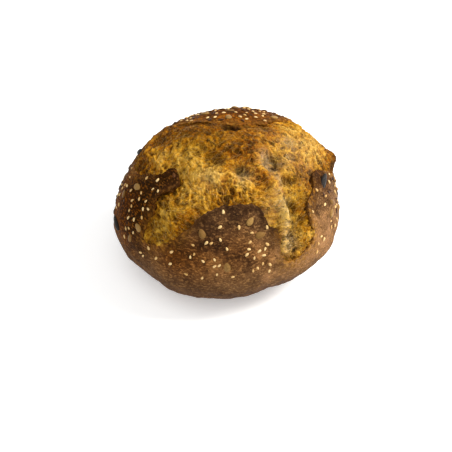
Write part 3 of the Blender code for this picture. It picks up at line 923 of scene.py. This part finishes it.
def scatter(kind, size_change, material):
    length, width, thickness = (side * MM for side in kind["size"])
    obj = seed_points(kind, places_of_seeds[kind["name"]])
    run_tree(obj, seed_tree, {
        "Length": length, "Width": width, "Thickness": thickness, "Taper": SEED_TAPER,
        "Size Change": size_change, "Random Seed": DRAW_SEED, "Material": material,
    })
    for name in (ATTRIBUTE_FLAT, ATTRIBUTE_LONG):
        if name in obj.data.attributes:
            obj.data.attributes.remove(obj.data.attributes[name])
    print(obj.name + ":", len(obj.data.polygons), "faces")
    return obj


# %% [markdown]
# ## Loose threads of crumb
#
# Torn dough leaves threads that stretch from strand to strand and catch the light. Each one is a short line
# that follows the crumb, rises in its middle and dips in at its ends. A second tree turns all the lines into
# fine tubes that are thickest in the middle.

# %% The lines of the threads
THREADS = 2000
THREAD_TRIES = 6
THREAD_EDGE_GAP = 2.5
THREAD_LENGTHS = (3.0, 9.0)
THREAD_STEPS = 7
THREAD_RADIUS = 0.2
THREAD_RISE, THREAD_DIP = 0.7, 0.6
THREAD_SWIRL, THREAD_TURN, THREAD_TURN_SIZE, THREAD_BEND = 2.2, 0.35, 20.0, 0.05
THREAD_THICKNESS, THREAD_ENDS = (0.5, 1.5), 0.25
# Threads count as crests and are made paler: a painted highlight on them
THREAD_CREST, THREAD_CREST_CHANGE = 0.78, 0.15
THREAD_HIGHLIGHT = 0.3
THREAD_SIDES = 4
ATTRIBUTE_THICK = "thick"


def sampled(field, places):
    """Values of a grid field at any places, by bilinear interpolation."""
    column = np.clip((places[:, 0] - grid_low[0]) / GRID_STEP, 0, grid_shape[0] - 2)
    row = np.clip((places[:, 1] - grid_low[1]) / GRID_STEP, 0, grid_shape[1] - 2)
    i, j = column.astype(int), row.astype(int)
    s, t = column - i, row - j
    return (
        field[i, j] * (1 - s) * (1 - t) + field[i + 1, j] * s * (1 - t)
        + field[i, j + 1] * (1 - s) * t + field[i + 1, j + 1] * s * t
    )


def thread_lines():
    """Lines on the map, as (count, steps, 2), that run across the arms of the star, bent a little."""
    draw = np.random.default_rng(DRAW_SEED)
    starts = draw.uniform(grid_low, grid_high, (THREADS * THREAD_TRIES, 2))
    starts = starts[inside_tear(starts) > THREAD_EDGE_GAP][:THREADS]
    from_centre = unit(starts - np.array(CROSS_CENTRE))
    across = np.column_stack([-from_centre[:, 1], from_centre[:, 0]])
    turn = THREAD_SWIRL * map_noise(starts, THREAD_TURN_SIZE, 51)
    turn += draw.normal(0.0, THREAD_TURN, len(starts))
    bend = draw.normal(0.0, THREAD_BEND, len(starts))
    length = draw.uniform(*THREAD_LENGTHS, len(starts))
    lines = [starts]
    for step in range(1, THREAD_STEPS):
        angle = turn + bend * step
        way = np.column_stack([
            across[:, 0] * np.cos(angle) - across[:, 1] * np.sin(angle),
            across[:, 0] * np.sin(angle) + across[:, 1] * np.cos(angle),
        ])
        lines.append(lines[-1] + way * (length / (THREAD_STEPS - 1))[:, None])
    return np.stack(lines, axis=1)


# %% The thread tree
def make_thread_tree():
    tree, given = new_tree(
        "threads", "GeometryNodeTree",
        {"Geometry": "Geometry", "Radius": "Float", "Sides": "Int", "Material": "Material"},
        {"Geometry": "Geometry"},
    )
    lines = put(tree, "GeometryNodeMeshToCurve", {"Mesh": given["Geometry"]})
    ring = put(tree, "GeometryNodeCurvePrimitiveCircle", {
        "Resolution": given["Sides"], "Radius": given["Radius"],
    }, mode="RADIUS")
    tubes = put(tree, "GeometryNodeCurveToMesh", {
        "Curve": lines.outputs[0], "Profile Curve": ring.outputs[0],
        "Scale": named_attribute(tree, ATTRIBUTE_THICK, "FLOAT"), "Fill Caps": True,
    })
    return end_tree(tree, tubes.outputs[0], given["Material"])


# %% The thread piece
def make_threads(material):
    lines = thread_lines()
    count = len(lines)
    share = np.linspace(0, 1, THREAD_STEPS)
    arch = np.sin(np.pi * share)
    places = lines.reshape(-1, 2)
    lift = THREAD_RISE * arch - THREAD_DIP * (1 - arch)
    heights = sampled(on_grid(near_height), places) + np.tile(lift, count)
    points = raised(wrap(places), heights)
    first = np.arange(count * THREAD_STEPS).reshape(count, THREAD_STEPS)
    pairs = np.stack([first[:, :-1], first[:, 1:]], axis=-1).reshape(-1, 2)
    mesh = bpy.data.meshes.new("threads")
    mesh.from_pydata((points * MM).tolist(), pairs.tolist(), [])
    obj = put_in_scene("threads", mesh)
    draw = np.random.default_rng(DRAW_SEED + 1)
    thick = draw.uniform(*THREAD_THICKNESS, count)[:, None] * (THREAD_ENDS + (1 - THREAD_ENDS) * arch)
    paint(obj, ATTRIBUTE_THICK, thick.ravel())
    for name, values in crumb_masks.items():
        painted_highlight = THREAD_HIGHLIGHT if name == "pale" else 0.0
        paint(obj, name, np.clip(sampled(on_grid(values), places) + painted_highlight, 0, 1))
    own_crest = draw.normal(THREAD_CREST, THREAD_CREST_CHANGE, count)
    obj.data.attributes["crest"].data.foreach_set("value", np.repeat(own_crest, THREAD_STEPS))
    run_tree(obj, make_thread_tree(), {
        "Radius": THREAD_RADIUS * MM, "Sides": THREAD_SIDES, "Material": material,
    })
    print("threads:", count, "lines,", len(obj.data.polygons), "faces")
    return obj


# %% [markdown]
# ## Finishes
#
# Three effects come back in the materials: grain, specks of bran, and fine strands. Each is a shader node
# group, built once, with its own size and strength wherever it is used. They read Object coordinates, so they
# stay put on the loaf. All sizes in materials are in metres, as the coordinates are.

# %% Shared effects
GRAIN_RANGE = (0.3, 0.7)
SPECK_FINENESS, SPECK_LEVEL, SPECK_CHANGE, SPECK_EDGE = 0.6, 0.72, 0.3, 0.05
STRAND_RANGE = (0.2, 1.0)
MIDDLE_GREY = 0.5


def mapped(tree, value, low, high, new_low=0.0, new_high=1.0):
    """A Map Range node's result, which is clamped to the new range."""
    node = put(tree, "ShaderNodeMapRange", {
        "Value": value, "From Min": low, "From Max": high, "To Min": new_low, "To Max": new_high,
    })
    return node.outputs["Result"]


def cloud(tree, given, fineness, **inputs):
    """Noise with features of the given size in metres. A lower fineness makes them larger."""
    scale = calculate(tree, "DIVIDE", fineness, given["Size"])
    node = put(tree, "ShaderNodeTexNoise", {"Vector": given["Vector"], "Scale": scale, **inputs})
    return node.outputs["Fac"]


def make_grain_group():
    """Uneven grain: a value from 0 to 1."""
    tree, given = new_tree(
        "grain", "ShaderNodeTree", {"Vector": "Vector", "Size": "Float", "Roughness": "Float"},
        {"Value": "Float"},
    )
    grey = cloud(tree, given, 1.0, Detail=4.0, Roughness=given["Roughness"])
    put(tree, "NodeGroupOutput", {"Value": mapped(tree, grey, *GRAIN_RANGE)})
    return tree


def make_speck_group():
    """Scattered specks: a mask of ragged flakes. A larger share means more of them."""
    tree, given = new_tree(
        "bran specks", "ShaderNodeTree", {"Vector": "Vector", "Size": "Float", "Share": "Float"},
        {"Mask": "Float"},
    )
    least = calculate(tree, "SUBTRACT", SPECK_LEVEL, times(tree, given["Share"], SPECK_CHANGE))
    above = calculate(tree, "SUBTRACT", cloud(tree, given, SPECK_FINENESS, Detail=1.5), least)
    put(tree, "NodeGroupOutput", {"Mask": mapped(tree, above, 0.0, SPECK_EDGE)})
    return tree


def make_strand_group():
    """A web of fine bright strands: a mask that is 1 along wandering lines of the given thickness."""
    tree, given = new_tree(
        "fine strands", "ShaderNodeTree", {"Vector": "Vector", "Size": "Float", "Thickness": "Float"},
        {"Mask": "Float"},
    )
    grey = cloud(tree, given, 1.0, Detail=1.0, Roughness=0.6, Distortion=1.2)
    off_line = calculate(tree, "ABSOLUTE", calculate(tree, "SUBTRACT", grey, MIDDLE_GREY))
    share = calculate(tree, "DIVIDE", off_line, given["Thickness"])
    put(tree, "NodeGroupOutput", {"Mask": mapped(tree, share, *STRAND_RANGE, 1.0, 0.0)})
    return tree


grain_group = make_grain_group()
speck_group = make_speck_group()
strand_group = make_strand_group()

# %% [markdown]
# A few helpers keep the materials short to read: colours from their usual 0 to 255 numbers, layers of colour,
# a ramp, the reading of a painted attribute, and sums of values with a weight each.

# %% Colours
def colour(red, green, blue):
    """A linear colour from ordinary 0 to 255 screen values."""
    linear = []
    for part in (red, green, blue):
        share = part / 255
        linear.append(share / 12.92 if share <= 0.04045 else ((share + 0.055) / 1.055) ** 2.4)
    return (*linear, 1.0)


def mixed(tree, share, first, second):
    """The first colour with a share of the second, each one a socket or three screen values."""
    node = put(tree, "ShaderNodeMix", {0: share}, data_type="RGBA")
    for index, value in ((6, first), (7, second)):
        if isinstance(value, bpy.types.NodeSocket):
            tree.links.new(value, node.inputs[index])
        else:
            node.inputs[index].default_value = colour(*value)
    return node.outputs[2]


def layered(tree, base, *layers):
    """The base colour with each (share, colour) laid over it in turn."""
    for share, cover in layers:
        base = mixed(tree, share, base, cover)
    return base


def ramp(tree, value, stops):
    """A colour read off the value, from stops (position, three screen values)."""
    node = put(tree, "ShaderNodeValToRGB", {"Fac": value})
    elements = node.color_ramp.elements
    first, *between, last = [(position, colour(*screen)) for position, screen in stops]
    elements[0].position, elements[0].color = first
    elements[1].position, elements[1].color = last
    for position, shade in between:
        elements.new(position).color = shade
    return node.outputs["Color"]


# %% Other helpers for materials
def painted(tree, name):
    return put(tree, "ShaderNodeAttribute", attribute_name=name).outputs["Fac"]


def use_group(tree, group, **inputs):
    return put(tree, "ShaderNodeGroup", inputs, node_tree=group).outputs[0]


def grain(tree, vector, size, roughness=0.6):
    return use_group(tree, grain_group, Vector=vector, Size=size, Roughness=roughness)


def grains(tree, vector, layers):
    """A term of a weighed sum for each layer of grain (size, roughness, weight)."""
    return [(grain(tree, vector, size, roughness), weight) for size, roughness, weight in layers]


def specks(tree, vector, size, share):
    return use_group(tree, speck_group, Vector=vector, Size=size, Share=share)


def strands(tree, vector, size, thickness):
    return use_group(tree, strand_group, Vector=vector, Size=size, Thickness=thickness)


def new_material(name, roughness=0.7, sheen=0.08):
    """A material with a Principled shader, and where the object's own coordinates come from."""
    material = bpy.data.materials.new(name)
    material.use_nodes = True
    tree = material.node_tree
    shader = tree.nodes["Principled BSDF"]
    shader.inputs["Roughness"].default_value = roughness
    shader.inputs["Specular IOR Level"].default_value = sheen
    return material, tree, shader, put(tree, "ShaderNodeTexCoord").outputs["Object"]


def bump(tree, shader, height, distance):
    node = put(tree, "ShaderNodeBump", {"Height": height, "Distance": distance, "Strength": 1.0})
    tree.links.new(node.outputs[0], shader.inputs["Normal"])


def weighed(tree, *terms):
    """The sum of values, each times its weight, and of any plain number."""
    total = 0.0
    for term in terms:
        if isinstance(term, tuple):
            term = times(tree, *term)
        total = calculate(tree, "ADD", term, total)
    return total


# %% [markdown]
# The crust is brown all over but never evenly. It is darkest on the lips of the flaps, where it stood up into
# the heat, more golden on the left and back flaps, and calmer and a little dusty with flour low on the flank.
# It is darker towards the bottom, with shade painted low on the left flank and partly along the left flap's
# border. Tan specks are bran that shows through. Where crust and crumb blend, the crust's edge is frayed to
# crumbs.

# %% How each part of the crust baked, with painted shade on the lower left
# u, v, half width, strength
# Spots low on the left flank, (-84, -76), (-60, -96), (-38, -114) and (-9, -126), are painted shade, and the
# small ones along the left flap's border are partly painted shadow; the rest is crust that baked darker
DARK_AND_SHADED_CRUST = (
    (8, -66, 12, 0.5), (-20, -72, 14, 0.4), (34, -80, 9, 0.6), (-44, -24, 14, 1.0), (-58, -28, 16, 0.9),
    (-70, -45, 18, 0.7), (-90, -40, 24, 0.6), (-12, -90, 9, 0.55), (-40, -90, 12, 0.5), (0, 40, 60, 0.4),
    (72, -20, 16, 1.0), (76, -42, 10, 0.6), (-80, 10, 22, 0.5), (96, 30, 10, 1.0), (8, -96, 8, 0.25),
    (-84, -76, 20, 0.5), (-38, -114, 16, 0.3), (-60, -96, 16, 0.35), (77, -16, 9, 0.9),
    (-9, -126, 14, 0.15), (-66, -38, 7, 0.7), (-60, -55, 6, 0.8), (-78, -52, 6, 0.6), (-74, -24, 6, 0.5),
    (22, -104, 7, 0.2),
)
LIGHT_CRUST = (
    (100, -60, 34, 0.7), (80, -95, 30, 0.5), (40, -112, 22, 0.3), (-20, -106, 18, 0.35), (12, -84, 16, 0.2),
)
GOLDEN_CRUST = (
    (0, 36, 52, 1.0), (-74, -36, 32, 1.0), (-92, -40, 24, 1.0), (-44, -24, 12, 1.0), (-60, -60, 16, 0.9),
    (-28, -100, 20, 0.45), (6, -88, 16, 0.2), (4, -104, 16, 0.25), (-50, -92, 16, 0.7),
    (-110, -10, 24, 0.8), (30, -98, 14, 0.2), (-70, 25, 26, 0.9), (60, 60, 34, 0.8), (74, -12, 12, 0.5),
)
FRAYED_EDGES = (
    (66, -38, 16, 0.9), (76, -64, 14, 1.0), (60, -94, 18, 1.0), (-74, -62, 18, 0.9), (-48, -82, 20, 0.8),
    (-66, 2, 16, 0.7), (40, -80, 8, 0.5),
)
# Mottled patches: share, size, layer of noise
PATCHES = ((0.6, 24.0, 41), (0.4, 10.0, 42))
BAKE, PATCHY_BAKE, DARKENING_AND_SHADE, LIGHT_BAKE = 0.44, 0.28, 0.45, 0.3
# What changes down the flank: by how much, below which height, over how many millimetres
# The crust is darker towards the bottom of the flank
DARKER_LOW_DOWN = (0.24, 46.0, 26.0)
FLOUR = (1.0, 40.0, 40.0)
CALM = (0.45, 64.0, 28.0)
LIP_OUTSIDE, LIP_WIDTH = 1.5, 1.8
FRAY_REACH = 5.0
CUT_FROM, CUT_WIDTH = 0.2, 1.2


def lower_down(points, change):
    """How much of a change a point has, growing down the flank."""
    amount, below, over = change
    return amount * smooth_step((below - points[:, 2]) / over)


def crust_masks(obj, directions, inside):
    points = plain_form(directions)
    places = unwrap(directions)
    crisp = crispness(places)
    patches = sum(share * noise_field(points, size, layer) for share, size, layer in PATCHES)
    bake_and_shade = BAKE + PATCHY_BAKE * patches + lower_down(points, DARKER_LOW_DOWN)
    bake_and_shade += DARKENING_AND_SHADE * blend_of(DARK_AND_SHADED_CRUST, places) - LIGHT_BAKE * blend_of(LIGHT_CRUST, places)
    frayed = np.maximum(1.0 - crisp, blend_of(FRAYED_EDGES, places))
    for name, values in {
        "bake_and_shade": np.clip(bake_and_shade, 0, 1),
        "gold": blend_of(GOLDEN_CRUST, places),
        "flour": lower_down(points, FLOUR),
        "calm": 1.0 - lower_down(points, CALM),
        "lip": np.exp(-np.abs(inside + LIP_OUTSIDE) / LIP_WIDTH) * crisp,
        "fray": np.exp(np.minimum(inside, 0.0) / FRAY_REACH) * frayed,
        "cut": smooth_step((inside - CUT_FROM) / CUT_WIDTH),
    }.items():
        paint(obj, name, values)


# %% The crust's material
# Grain: size, roughness, weight
CRUST_GRAIN = ((0.008, 0.6, 0.36), (0.003, 0.7, 0.16), (0.0012, 0.75, 0.34))
CRUST_BUMPS = ((0.0014, 0.65, 1.0), (0.005, 0.6, 0.8))
MEAN_GRAIN, CRUST_LEVEL = 0.43, 0.05
# Specks: size, share
BRAN_SPECKS, LARGE_SPECKS = (0.001, 0.55), (0.003, 0.4)
# Strengths that follow another value: its low and high, and the strength at each
BRAN_BY_TONE = (0.3, 0.75, 0.5, 0.14)
SPECKS_BY_CALM = (0.55, 1.0, 0.2, 0.5)
BUMPS_BY_CALM = (0.55, 1.0, 0.65, 1.0)
MORE_BRAN_ON_GOLD = 0.2
FLOUR_SHARE, LIP_SHARE = 0.3, 0.6
FRAY_GRAIN, FRAY_RANGE = 0.003, (0.25, 0.6)
CRUMBS_SIZE, CRUMBS_BAKE, CRUMBS_LEVEL = 0.0025, 0.9, -0.4
BRAN_BUMP, CRUST_BUMP_DEPTH = 0.5, 0.0006
BROWN = (
    (0.0, (171, 127, 87)), (0.25, (132, 94, 60)), (0.45, (101, 71, 43)), (0.68, (70, 46, 27)),
    (1.0, (36, 22, 14)),
)
GOLDEN_BROWN = (
    (0.0, (190, 132, 34)), (0.3, (148, 88, 10)), (0.55, (98, 50, 2)), (0.8, (52, 24, 0)), (1.0, (32, 15, 0)),
)
FRAYED_CRUMBS = ((0.0, (196, 144, 62)), (0.5, (150, 98, 30)), (1.0, (84, 50, 14)))
BRAN, GOLDEN_BRAN, DARK_SPECKS = (186, 138, 84), (182, 104, 10), (42, 23, 9)
DUST, BURNT, TORN_CRUST = (142, 104, 78), (38, 20, 8), (140, 90, 34)
LYING_FLAT = (0.7, 0.7, 1.5)


def make_crust_material():
    material, tree, shader, place = new_material("baked crust", roughness=0.62, sheen=0.02)
    bake_and_shade, calm, gold = (painted(tree, name) for name in ("bake_and_shade", "calm", "gold"))
    unevenness = weighed(tree, *grains(tree, place, CRUST_GRAIN), -MEAN_GRAIN)
    tone = weighed(tree, (bake_and_shade, 1.0), (unevenness, calm), CRUST_LEVEL)
    lying = put(tree, "ShaderNodeVectorMath", {0: place, 1: LYING_FLAT}, operation="MULTIPLY").outputs[0]
    bran = specks(tree, lying, *BRAN_SPECKS)
    bran_strength = weighed(tree, (gold, MORE_BRAN_ON_GOLD), mapped(tree, tone, *BRAN_BY_TONE))
    ragged = mapped(tree, grain(tree, place, FRAY_GRAIN), *FRAY_RANGE)
    crumbs = weighed(tree, (grain(tree, place, CRUMBS_SIZE), 1.0), (bake_and_shade, CRUMBS_BAKE), CRUMBS_LEVEL)
    baked = mixed(tree, gold, ramp(tree, tone, BROWN), ramp(tree, tone, GOLDEN_BROWN))
    shade = layered(
        tree, baked,
        (times(tree, bran, bran_strength), mixed(tree, gold, BRAN, GOLDEN_BRAN)),
        (times(tree, specks(tree, place, *LARGE_SPECKS), mapped(tree, calm, *SPECKS_BY_CALM)), DARK_SPECKS),
        (times(tree, painted(tree, "flour"), FLOUR_SHARE), DUST),
        (times(tree, painted(tree, "lip"), LIP_SHARE), BURNT),
        (times(tree, painted(tree, "fray"), ragged), ramp(tree, crumbs, FRAYED_CRUMBS)),
        (painted(tree, "cut"), TORN_CRUST),
    )
    tree.links.new(shade, shader.inputs["Base Color"])
    height = weighed(tree, *grains(tree, place, CRUST_BUMPS), (bran, BRAN_BUMP))
    bump(tree, shader, times(tree, height, mapped(tree, calm, *BUMPS_BY_CALM)), CRUST_BUMP_DEPTH)
    return material


crust_masks(crust, ball_directions, crust_inside)
crust.data.materials.append(make_crust_material())

# %% [markdown]
# Torn crumb takes its colour from how it lay in the heat, with light and shade painted over it. Crests and
# hills are painted brighter gold and pits painted brown as shade, shaded hollows get a painted olive-gold
# shade, and holes a painted near-black shade. Burst pockets stayed pale, and pale is also painted as
# highlight along ridges. Fine strands get a painted highlight. The zone just below the back flap is nearly as
# brown as crust. All of that is read from what the crumb's mesh stores.

# %% The crumb's material
# How much each painted value and each layer of grain darkens the crumb. Through crest and hill, light is
# painted on crests and hills and shade in pits and hollows.
CRUMB_TONE = {"toast": 0.62, "bright": -0.22, "hill": -0.16, "rim": 0.12, "crest": -0.40}
CRUMB_GRAIN = ((0.012, 0.6, 0.50), (0.0034, 0.7, 0.34), (0.0016, 0.7, 0.26))
CRUMB_BUMPS = ((0.0011, 0.7, 0.8), (0.0026, 0.6, 0.6))
CRUMB_LEVEL = 0.075
PATCHY_SIZE = 0.004
# Web: size, thickness. Flecks: size, share
WEB, FINE_WEB = (0.0055, 0.04), (0.0032, 0.05)
CRUMB_SPECKS = (0.0024, 0.42)
# Strengths that follow another value, as on the crust
PITS_BY_CREST = (0.44, 0.12, 0.0, 0.85)
PALE_BY_PATCHES = (0.0, 1.0, 0.3, 0.9)
BROWNED_BY_PATCHES = (0.3, 0.6)
WEB_BY_TONE = (0.1, 0.8, 0.5, 0.14)
HOLLOW_SHADE_SHARE, FLECK_SHARE = 0.66, 0.7
WEB_BUMP, CRUMB_BUMP_DEPTH = 0.9, 0.0007
GOLD = (
    (0.0, (236, 185, 82)), (0.25, (210, 147, 34)), (0.5, (176, 108, 10)), (0.75, (132, 73, 6)),
    (1.0, (74, 36, 5)),
)
# Painted shade in pits and hollows, and pale crumb that is partly painted highlight
PAINTED_PIT_SHADE, PAINTED_HOLLOW_SHADE, PALE_AND_HIGHLIGHT = (98, 58, 8), (100, 80, 14), (196, 180, 142)
# Painted highlight on strands, and painted near-black shade in holes
BROWNED, FLECKS, PAINTED_STRAND_HIGHLIGHT, PAINTED_HOLE_SHADE = (104, 62, 20), (66, 38, 12), (240, 186, 70), (40, 22, 8)


def make_crumb_material():
    material, tree, shader, place = new_material("torn crumb", roughness=0.7, sheen=0.03)
    tone = weighed(
        tree, *((painted(tree, name), weight) for name, weight in CRUMB_TONE.items()),
        *grains(tree, place, CRUMB_GRAIN), CRUMB_LEVEL,
    )
    patchy = grain(tree, place, PATCHY_SIZE)
    web = calculate(tree, "MAXIMUM", strands(tree, place, *WEB), strands(tree, place, *FINE_WEB))
    shade = layered(
        tree, ramp(tree, tone, GOLD),
        (mapped(tree, painted(tree, "crest"), *PITS_BY_CREST), PAINTED_PIT_SHADE),
        (times(tree, painted(tree, "shade"), HOLLOW_SHADE_SHARE), PAINTED_HOLLOW_SHADE),
        (times(tree, painted(tree, "pale"), mapped(tree, patchy, *PALE_BY_PATCHES)), PALE_AND_HIGHLIGHT),
        (times(tree, painted(tree, "crusty"), mapped(tree, patchy, *BROWNED_BY_PATCHES)), BROWNED),
        (times(tree, specks(tree, place, *CRUMB_SPECKS), FLECK_SHARE), FLECKS),
        (times(tree, web, mapped(tree, tone, *WEB_BY_TONE)), PAINTED_STRAND_HIGHLIGHT),
        (painted(tree, "dark"), PAINTED_HOLE_SHADE),
    )
    tree.links.new(shade, shader.inputs["Base Color"])
    height = weighed(tree, *grains(tree, place, CRUMB_BUMPS), (web, WEB_BUMP))
    bump(tree, shader, height, CRUMB_BUMP_DEPTH)
    return material


crumb.data.materials.append(make_crumb_material())
threads = make_threads(crumb.data.materials[0])

# %% [markdown]
# Seeds are the brightest and the darkest points of the loaf: cream sesame, grey-tan kernels, dark brown flax
# and nearly black hulls. Each seed has its own tone, because the tree gave it one.

# %% Seeds
# Kind, change of size, and the coat: its name, a light, a dark and a streak colour, and its roughness
SEED_COATS = (
    (SESAME, 0.16, "toasted sesame", (232, 202, 144), (190, 146, 82), (204, 162, 100), 0.42),
    (KERNEL, 0.14, "sunflower kernel", (166, 130, 72), (116, 82, 38), (80, 50, 20), 0.45),
    (FLAX, 0.2, "flax seed", (92, 56, 26), (44, 25, 13), (60, 34, 17), 0.38),
    (HULLED, 0.1, "sunflower hull", (46, 42, 40), (24, 21, 20), (60, 54, 48), 0.45),
)
# Size, roughness
STREAKS, STREAK_SHARE = (0.0011, 0.7), 0.55
COAT_BUMP_SIZE, COAT_BUMP_DEPTH = 0.0008, 0.00015


def make_seed_material(name, light, dark, streak, roughness):
    """A seed coat: a tone for each seed, fine streaks and a slight sheen."""
    material, tree, shader, place = new_material(name, roughness)
    own = mixed(tree, painted(tree, ATTRIBUTE_TONE), light, dark)
    streaked = mixed(tree, times(tree, grain(tree, place, *STREAKS), STREAK_SHARE), own, streak)
    tree.links.new(streaked, shader.inputs["Base Color"])
    bump(tree, shader, grain(tree, place, COAT_BUMP_SIZE), COAT_BUMP_DEPTH)
    return material


sesame, kernels, flax, hulled_seeds = (
    scatter(kind, size_change, make_seed_material(*coat)) for kind, size_change, *coat in SEED_COATS
)

# %% [markdown]
# ## Floor and light
#
# A pale floor and a soft light, as in a plain product picture. The large lamp to the right and above makes
# the right flank bright and leaves the left one dark, as in the photograph.

# %% Floor and light
FLOOR_SIZE = 3.0
FLOOR_COLOUR = (0.9, 0.9, 0.89, 1.0)
WHITE = (1.0, 1.0, 1.0, 1.0)
FLOOR_GLOW, SKY_GLOW = 0.35, 0.55
# Lamps: name, place in metres, power in watts, size in metres, colour
LAMPS = (
    ("window", (0.75, 0.05, 0.8), 17.0, 0.5, (1.0, 0.98, 0.94)),
    ("sky", (-0.2, -0.5, 1.1), 5.0, 0.9, (0.99, 0.99, 1.0)),
)


def make_floor():
    bm = bmesh.new()
    bmesh.ops.create_grid(bm, x_segments=1, y_segments=1, size=FLOOR_SIZE)
    floor = mesh_object("floor", bm)
    material, _, shader, _ = new_material("pale floor", roughness=0.9)
    shader.inputs["Base Color"].default_value = FLOOR_COLOUR
    shader.inputs["Emission Color"].default_value = WHITE
    shader.inputs["Emission Strength"].default_value = FLOOR_GLOW
    floor.data.materials.append(material)


def make_lamp(name, place, power, size, warmth):
    lamp = put_in_scene(name, bpy.data.lights.new(name, "AREA"))
    lamp.data.energy = power
    lamp.data.size = size
    lamp.data.color = warmth
    lamp.location = place
    lamp.rotation_euler = Vector(place).to_track_quat("Z", "Y").to_euler()


make_floor()
for lamp_details in LAMPS:
    make_lamp(*lamp_details)
world = bpy.data.worlds.new("studio")
bpy.context.scene.world = world
world.use_nodes = True
background = world.node_tree.nodes["Background"]
background.inputs["Color"].default_value = WHITE
background.inputs["Strength"].default_value = SKY_GLOW
bpy.context.scene.view_settings.view_transform = "Standard"

# %% [markdown]
# ## What each piece stands for
#
# Crust and crumb replace the plain loaf. Seeds and threads ride with it.

# %% Riding and replacing
for piece, finish in (
    (crust, "crust"), (crumb, "crumb"), (threads, "crumb"), (sesame, "sesame"),
    (kernels, "kernel"), (flax, "kernel"), (hulled_seeds, "hull"),
):
    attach(piece, "root")
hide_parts("loaf")
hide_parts("loaf")
